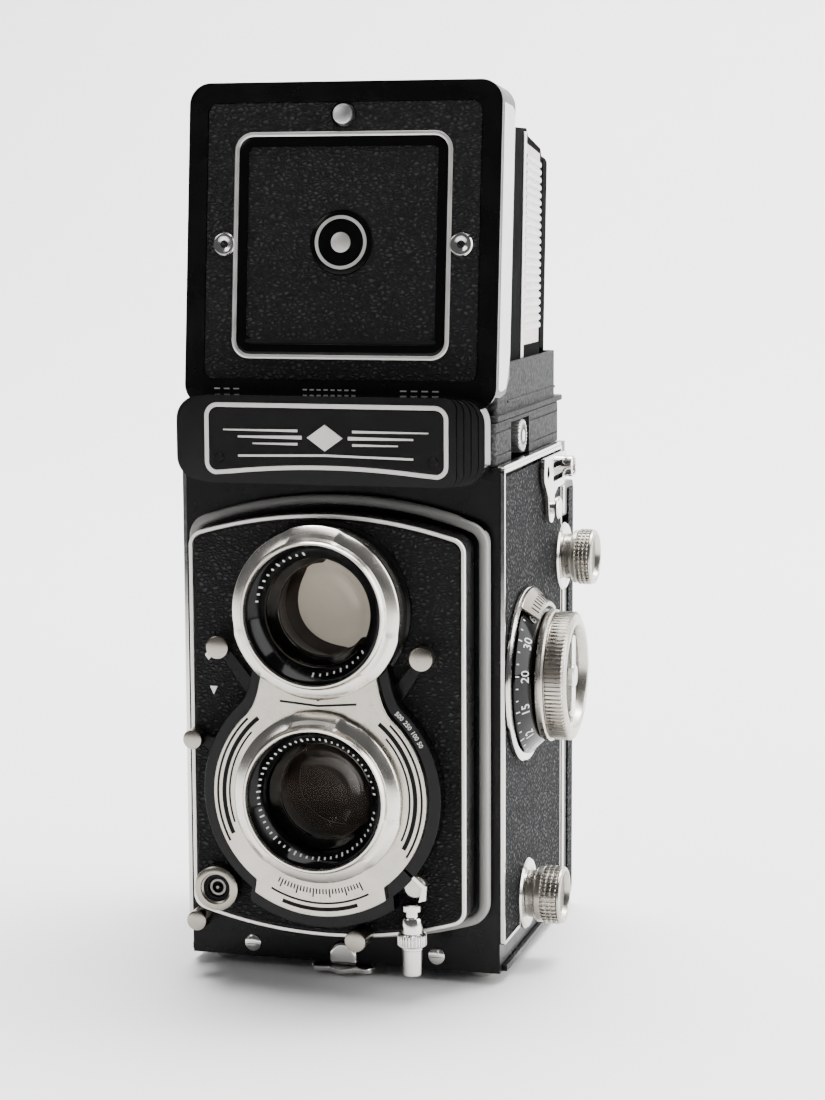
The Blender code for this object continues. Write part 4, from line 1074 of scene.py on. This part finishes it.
def build_lid():
    top = LID_TOP
    cheek_end = [(-20, 110), (5.2, 110), (5.2, 129.6), (2, 132.4), (0.9, 136)]
    cheek_end += [(0.9, top - 1.05), (-20, top - 1.05)]
    cuts = [prism("Z", rounded(span(36.05), (-20, 70.85), 4.2), 120, top - 1.2)]
    cuts.append(prism("X", cheek_end, -50, 50))
    cuts.append(prism("Z", rounded(span(32.4), (4.1, 67.2), 2.4), top - 0.45, top + 1))
    cuts.append(prism("Z", rounded(span(23.4), (12, 58.2), 3), 135, 145))
    cuts.append(drill("Z", LID_BUTTON, 2.6, 135, 145, 40))
    cuts += [rod("X", LID_HINGE, 1.45, side * 35, side * 38, 32) for side in (-1, 1)]
    shell = prism("Z", rounded(span(36.9), (-2, 71.7), 5, 12), 129, top)
    lid_piece("lid_shell", shell, BLACK, "hood_lid", cuts=cuts, bevel=0.55, segments=4, sharp=50)
    field = prism("Z", rounded(span(32.2), (4.3, 67), 2.2), top - 0.6, top - 0.08)
    window = prism("Z", rounded(span(25), (9.7, 59.7), 3.6), 135, 145)
    holes = [window, drill("Z", LID_BUTTON, 3, 135, 145, 40)]
    lid_piece("lid_leather", field, LEATHER, cuts=holes, bevel=0.15, segments=2)
    line = rounded(span(25.2), (9.4, 59.9), 3.8)
    profile = above(top, (0.5, -0.5), (0.5, 0), (0.3, 0.15), (-0.3, 0.15), (-0.5, 0), (-0.5, -0.5))
    lid_piece("lid_line", sweep("Z", line, profile), LINE, sharp=50)
    bead = above(
        top, (-0.6, -0.6), (-0.6, -0.12), (-1.1, 0.05), (-1.7, -0.02), (-2.85, -0.14), (-2.85, -0.28),
        (-1.85, -0.3), (-1.85, -1.1), (-0.9, -1.1),
    )
    lid_piece("lid_window_frame", sweep("Z", line, bead), GLOSS, sharp=50)
    eye = above(
        top, (0.8, -0.5), (2.6, -0.5), (2.7, -0.1), (2.45, 0.18), (2.1, 0.26), (1.5, 0.1), (0.85, -0.1),
    )
    pip = above(top, (0, -0.15), (0.9, -0.15), (1, -0.3), (1, -0.6), (0, -0.6))
    for side, hand in HANDS:
        centre = (side * 28, 35)
        lid_piece(f"lid_eyelet_{hand}", lathe("Z", centre, eye, 48), CHROME)
        lid_piece(f"lid_eyelet_core_{hand}", lathe("Z", centre, pip, 32), GLOSS)
    rail = [(6, 130.8), (10.8, 129.3), (64, 129.3), (66.2, 130.1), (66.8, 132.1), (66.8, 139.5)]
    rail += [(2.9, 139.5), (2.4, 138.4), (2.4, 136.2), (3.2, 132.6)]
    # Bright metal on the lid's black side flanges: a painted reflection of the window lamp.
    for side, name in SIDES:
        cheek = prism("X", rail, side * 36.75, side * 37)
        lid_piece(f"lid_cheek_band_{name}_side", cheek, RIBS, bevel=0.1, segments=2)
    # Bright dashes along the lid's hinge edge: the hinge knuckles, drawn in bright metal as painted
    # highlights.
    dashes = []
    for start, count, pitch in ((-29.7, 3, 2.3), (-8.4, 8, 1.65), (14.6, 4, 2.5)):
        for left in [start + k * pitch for k in range(count)]:
            outline = rounded((left, left + 0.62 * pitch), (1.85, 2.15), 0.1, 2)
            dashes.append(prism("Z", outline, top - 0.4, top + 0.04))
    lid_piece("lid_hinge_knuckle_highlights", merged(dashes), LINE)


def build_finder_flap():
    top = LID_TOP
    covering = prism("Z", rounded(span(22.6), (13.3, 57.4), 2.3), top - 0.8, top - 0.35)
    plate = prism("Z", rounded(span(23), (12.9, 57.8), 2.6), top - 1.2, top - 0.75)
    hinge = rod("X", (12.9, top - 0.7), 0.62, -22.6, 22.6, 20)
    boss = above(top, (0, 0.2), (6.2, 0.2), (7.2, 0), (7.5, -0.45), (0, -0.45))
    star = above(top, (0, 0.1), (2.2, 0.1), (2.3, 0.3), (1.6, 0.42), (0, 0.46))
    middle = (0, 35.4)
    ring = lathe("Z", middle, band(5.35, 6.1, top + 0.1, top + 0.34), 72)
    lid_piece("finder_flap_leather", covering, LEATHER, bevel=0.15, segments=2, body="finder_flap")
    lid_piece("finder_flap_plate", plate, BLACK, "sports_finder_flap", bevel=0.12, segments=2,
              body="finder_flap")
    lid_piece("finder_flap_hinge", hinge, INNER_BLACK, body="finder_flap")
    lid_piece("lid_boss", lathe("Z", middle, boss, 72), GLOSS, body="finder_flap")
    lid_piece("lid_boss_ring", merged([ring, lathe("Z", middle, star, 40)]), LINE, body="finder_flap")


def build_lid_button():
    button = [(0, 142.72), (1.95, 142.7), (2.2, 142.6), (2.3, 142.4), (2.3, 139.9), (3.2, 139.9)]
    button += [(3.2, 139.3), (0, 139.3)]
    lid_piece("lid_button_head", lathe("Z", LID_BUTTON, button, 48), RIBS, "magnifier_button", "lid_button")


def build_magnifier():
    """The folding magnifier, drawn flat beside its hinge on the lid."""
    y, z = MAGNIFIER_HINGE.yz
    centre = (0, y - 26.5)
    half = [(9, y + 0.8), (9, y - 6), (12.4, y - 14), (12.6, y - 22), (8, y - 26)]
    outline = half + [(-x, v) for x, v in reversed(half)]
    slot = prism("Z", rounded(span(5.5), (y - 10.5, y - 4), 1.5), z - 3, z + 3)
    hole = drill("Z", centre, 11.6, z - 3, z + 3, 72)
    frame_shape = prism("Z", outline[::-1], z - 0.4, z + 0.4)
    piece("magnifier_frame", frame_shape, BLACK, "magnifier", "magnifier_arm", cuts=[slot, hole], bevel=0.15,
          place=MAGNIFIER)
    rim = above(
        z, (12.9, -1.1), (12.9, 0.7), (12.6, 0.9), (11.7, 0.9), (11.4, 0.6), (11.4, -1.3), (12.7, -1.3),
    )
    piece("magnifier_rim", lathe("Z", centre, rim), GLOSS, "magnifier", place=MAGNIFIER)
    glass = above(
        z, (0, 0.85), (4, 0.75), (8, 0.5), (11, 0.15), (11.2, 0), (11.2, -0.35), (8, -0.75), (4, -1),
        (0, -1.1),
    )
    loupe = lathe("Z", centre, glass, 72)
    piece("magnifier_glass", loupe, LOUPE, "magnifier", "magnifier_lens", place=MAGNIFIER)
    barrel = rod("X", (y, z), 0.55, -9.4, 9.4, 24)
    piece("magnifier_hinge", barrel, SATIN, "magnifier", place=MAGNIFIER)


def build_side_flap(side, name, hinge_z):
    """A side wall of the open hood: a thin plate with a panel, 22 pressed ribs and an edge bead."""
    x = side * 33.85
    body = f"flap_{name}_side"
    barrel = rod("Y", (x, hinge_z), 0.7, 13.6, 53.6, 24)
    outline = [(13.6, hinge_z), (18.9, 193.4), (40.2, 193.4), (42, 191.6), (55.2, 188.9)]
    outline += [(56.9, 186.5), (53.6, hinge_z)]
    plate = prism("X", outline[::-1], x - 0.4, x + 0.35)
    piece(f"flap_plate_{name}_side", plate, FLOCK, body, f"hood_flap_{name}_side", joins=[barrel], bevel=0.12,
          segments=2)
    face = x + side * 0.33
    inner = face - side * 0.1
    # The backing is darker satin than the ribs: painted shade between the ribs.
    backing = [(53, 142.6), (54.6, 187.6), (38.9, 190.2), (34.6, 142.6)]
    panel = prism("X", backing, inner, face + side * 0.06)
    piece(f"flap_panel_{name}_side", panel, SATIN, body, bevel=0.05, segments=2)
    section = ((-0.1, -0.7), (0.22, -0.55), (0.36, -0.15), (0.36, 0.2), (0.16, 0.6), (-0.1, 0.7))
    ribs = []
    for k in range(22):
        t = k / 21
        ends = ((36.6 + 3.7 * t, 146.6 + 40.4 * t), (54 + 1.2 * t, 146.6 + 38.3 * t))
        rings = [[(face + side * out, y, z + rise) for out, rise in section] for y, z in ends]
        ribs.append(skin(rings, False))
    piece(f"flap_ribs_{name}_side", merged(ribs), RIBS, body, sharp=45)
    bead = [(35.7, hinge_z + 5), (39.7, 192.6), (37.2, 192.6), (33.2, hinge_z + 5)]
    piece(f"flap_bead_{name}_side", prism("X", bead, inner, face + side * 0.32), RIBS, body, bevel=0.12,
          segments=2)


def build_back_flap():
    y, z = BACK_FLAP_HINGE
    far = y - 51.2
    eye = (0, far + 12)
    cuts = [box(span(33.4), (far - 5, y + 5), (z - 8, z - 0.4)),
            box(span(40), (y - 4.6, y + 5), (z - 8, z - 0.6))]
    cuts.append(drill("Z", eye, 4.5, z - 3, z + 3, 56))
    panel = prism("Z", rounded(span(34.3), (far, y), 2), z - 4, z + 0.4)
    barrel = rod("X", (y, z), 0.7, -33, 33, 24)
    piece("back_flap_panel", panel, FLOCK, "flap_back", "hood_back_flap", joins=[barrel], cuts=cuts,
          bevel=0.14, segments=2, place=BACK_FLAP)
    eyepiece = above(z, (4.6, 0.35), (5.6, 0.35), (5.8, 0.55), (5.2, 0.62), (4.6, 0.5))
    piece("back_flap_eyepiece", lathe("Z", eye, eyepiece, 56), GLOSS, "flap_back", place=BACK_FLAP)


# --- scene ---


def build_stage():
    """A paper floor that curves up into a backdrop, in metres."""
    shape = bmesh.new()
    width, front, turn, height, radius = 5.0, -9.0, 1.5, 2.6, 0.7
    profile = [(front, 0.0), *arc((turn - radius, radius), radius, -90, 0), (turn, height)]
    rows = [[shape.verts.new((x, y, z)) for y, z in profile] for x in (-width, width)]
    for i in range(len(profile) - 1):
        shape.faces.new((rows[0][i], rows[0][i + 1], rows[1][i + 1], rows[1][i]))
    mesh = bpy.data.meshes.new("studio_sweep")
    shape.to_mesh(mesh)
    shape.free()
    mesh.shade_smooth()
    sweep_object = bpy.data.objects.new("studio_sweep", mesh)
    SCENE.collection.objects.link(sweep_object)
    f = Finish("studio_paper")
    f.colour(f.blend(f.noise(6.0), (0.87, 0.87, 0.865), (0.9, 0.9, 0.895)))
    f.smeared(60.0, 0.55, 0.7)
    mesh.materials.append(f.material)


def soft_light(name, location, target, size, power):
    data = bpy.data.lights.new(name, "AREA")
    data.shape = "RECTANGLE"
    data.size, data.size_y = size
    data.energy = power
    light = bpy.data.objects.new(name, data)
    light.location = location
    light.rotation_euler = (Vector(target) - Vector(location)).to_track_quat("-Z", "Y").to_euler()
    SCENE.collection.objects.link(light)


def build_lights():
    middle = (0.0, 0.0, 0.1)
    soft_light("window", (1.25, 0.1, 0.62), middle, (1.0, 1.2), 26.0)
    soft_light("front_fill", (-0.9, -1.1, 0.9), middle, (0.5, 0.5), 3.0)
    soft_light("overhead", (0.1, 0.2, 1.5), middle, (1.2, 1.2), 30.0)
    soft_light("backdrop_wash", (0.2, 0.7, 2.3), (0.0, 1.5, 0.6), (2.4, 0.8), 170.0)
    world = bpy.data.worlds.new("studio")
    world.use_nodes = True
    background = world.node_tree.nodes["Background"]
    background.inputs["Color"].default_value = (0.92, 0.95, 1.0, 1.0)
    background.inputs["Strength"].default_value = 0.14
    SCENE.world = world


def build_camera():
    """The photograph's viewpoint: turned to the camera's left, tipped down and very slightly rolled."""
    yaw, pitch, roll = 15.43, 7.73, -0.26
    place = Matrix.Translation(Vector((174.3, -569.9, 178.2)) * MM + STAND)
    for degrees, axis in ((yaw, "Z"), (90 - pitch, "X"), (roll, "Z")):
        place = place @ Matrix.Rotation(math.radians(degrees), 4, axis)
    data = bpy.data.cameras.new("camera")
    data.sensor_width = 36.0
    data.lens = 85.8764
    data.clip_start = 0.01
    camera = bpy.data.objects.new("camera", data)
    camera.matrix_world = place
    SCENE.collection.objects.link(camera)
    SCENE.camera = camera


build_body()
build_front_trap()
build_nameplate()
build_screen_housing()
build_hood_base()
build_strap_lugs()
build_panel()
build_shutter()
build_lens("taking", TAKING, -17.7, ((8, 352, 6.0),))
build_lens("viewing", VIEWING, -12.5, ((100, 170, 7.0), (268, 330, 7.0)))
build_shutter_blades()
build_controls()
build_focus()
build_spool_knob("upper_knob", TAKE_UP, 47.0, 43.0)
build_spool_knob("lower_knob", SUPPLY, 48.0, 43.4)
build_winding()
build_transport()
build_back()
build_lid()
build_finder_flap()
build_lid_button()
build_magnifier()
build_side_flap(1, "focus", 131.3)
build_side_flap(-1, "wind", 129.9)
build_back_flap()
build_stage()
build_lights()
build_camera()
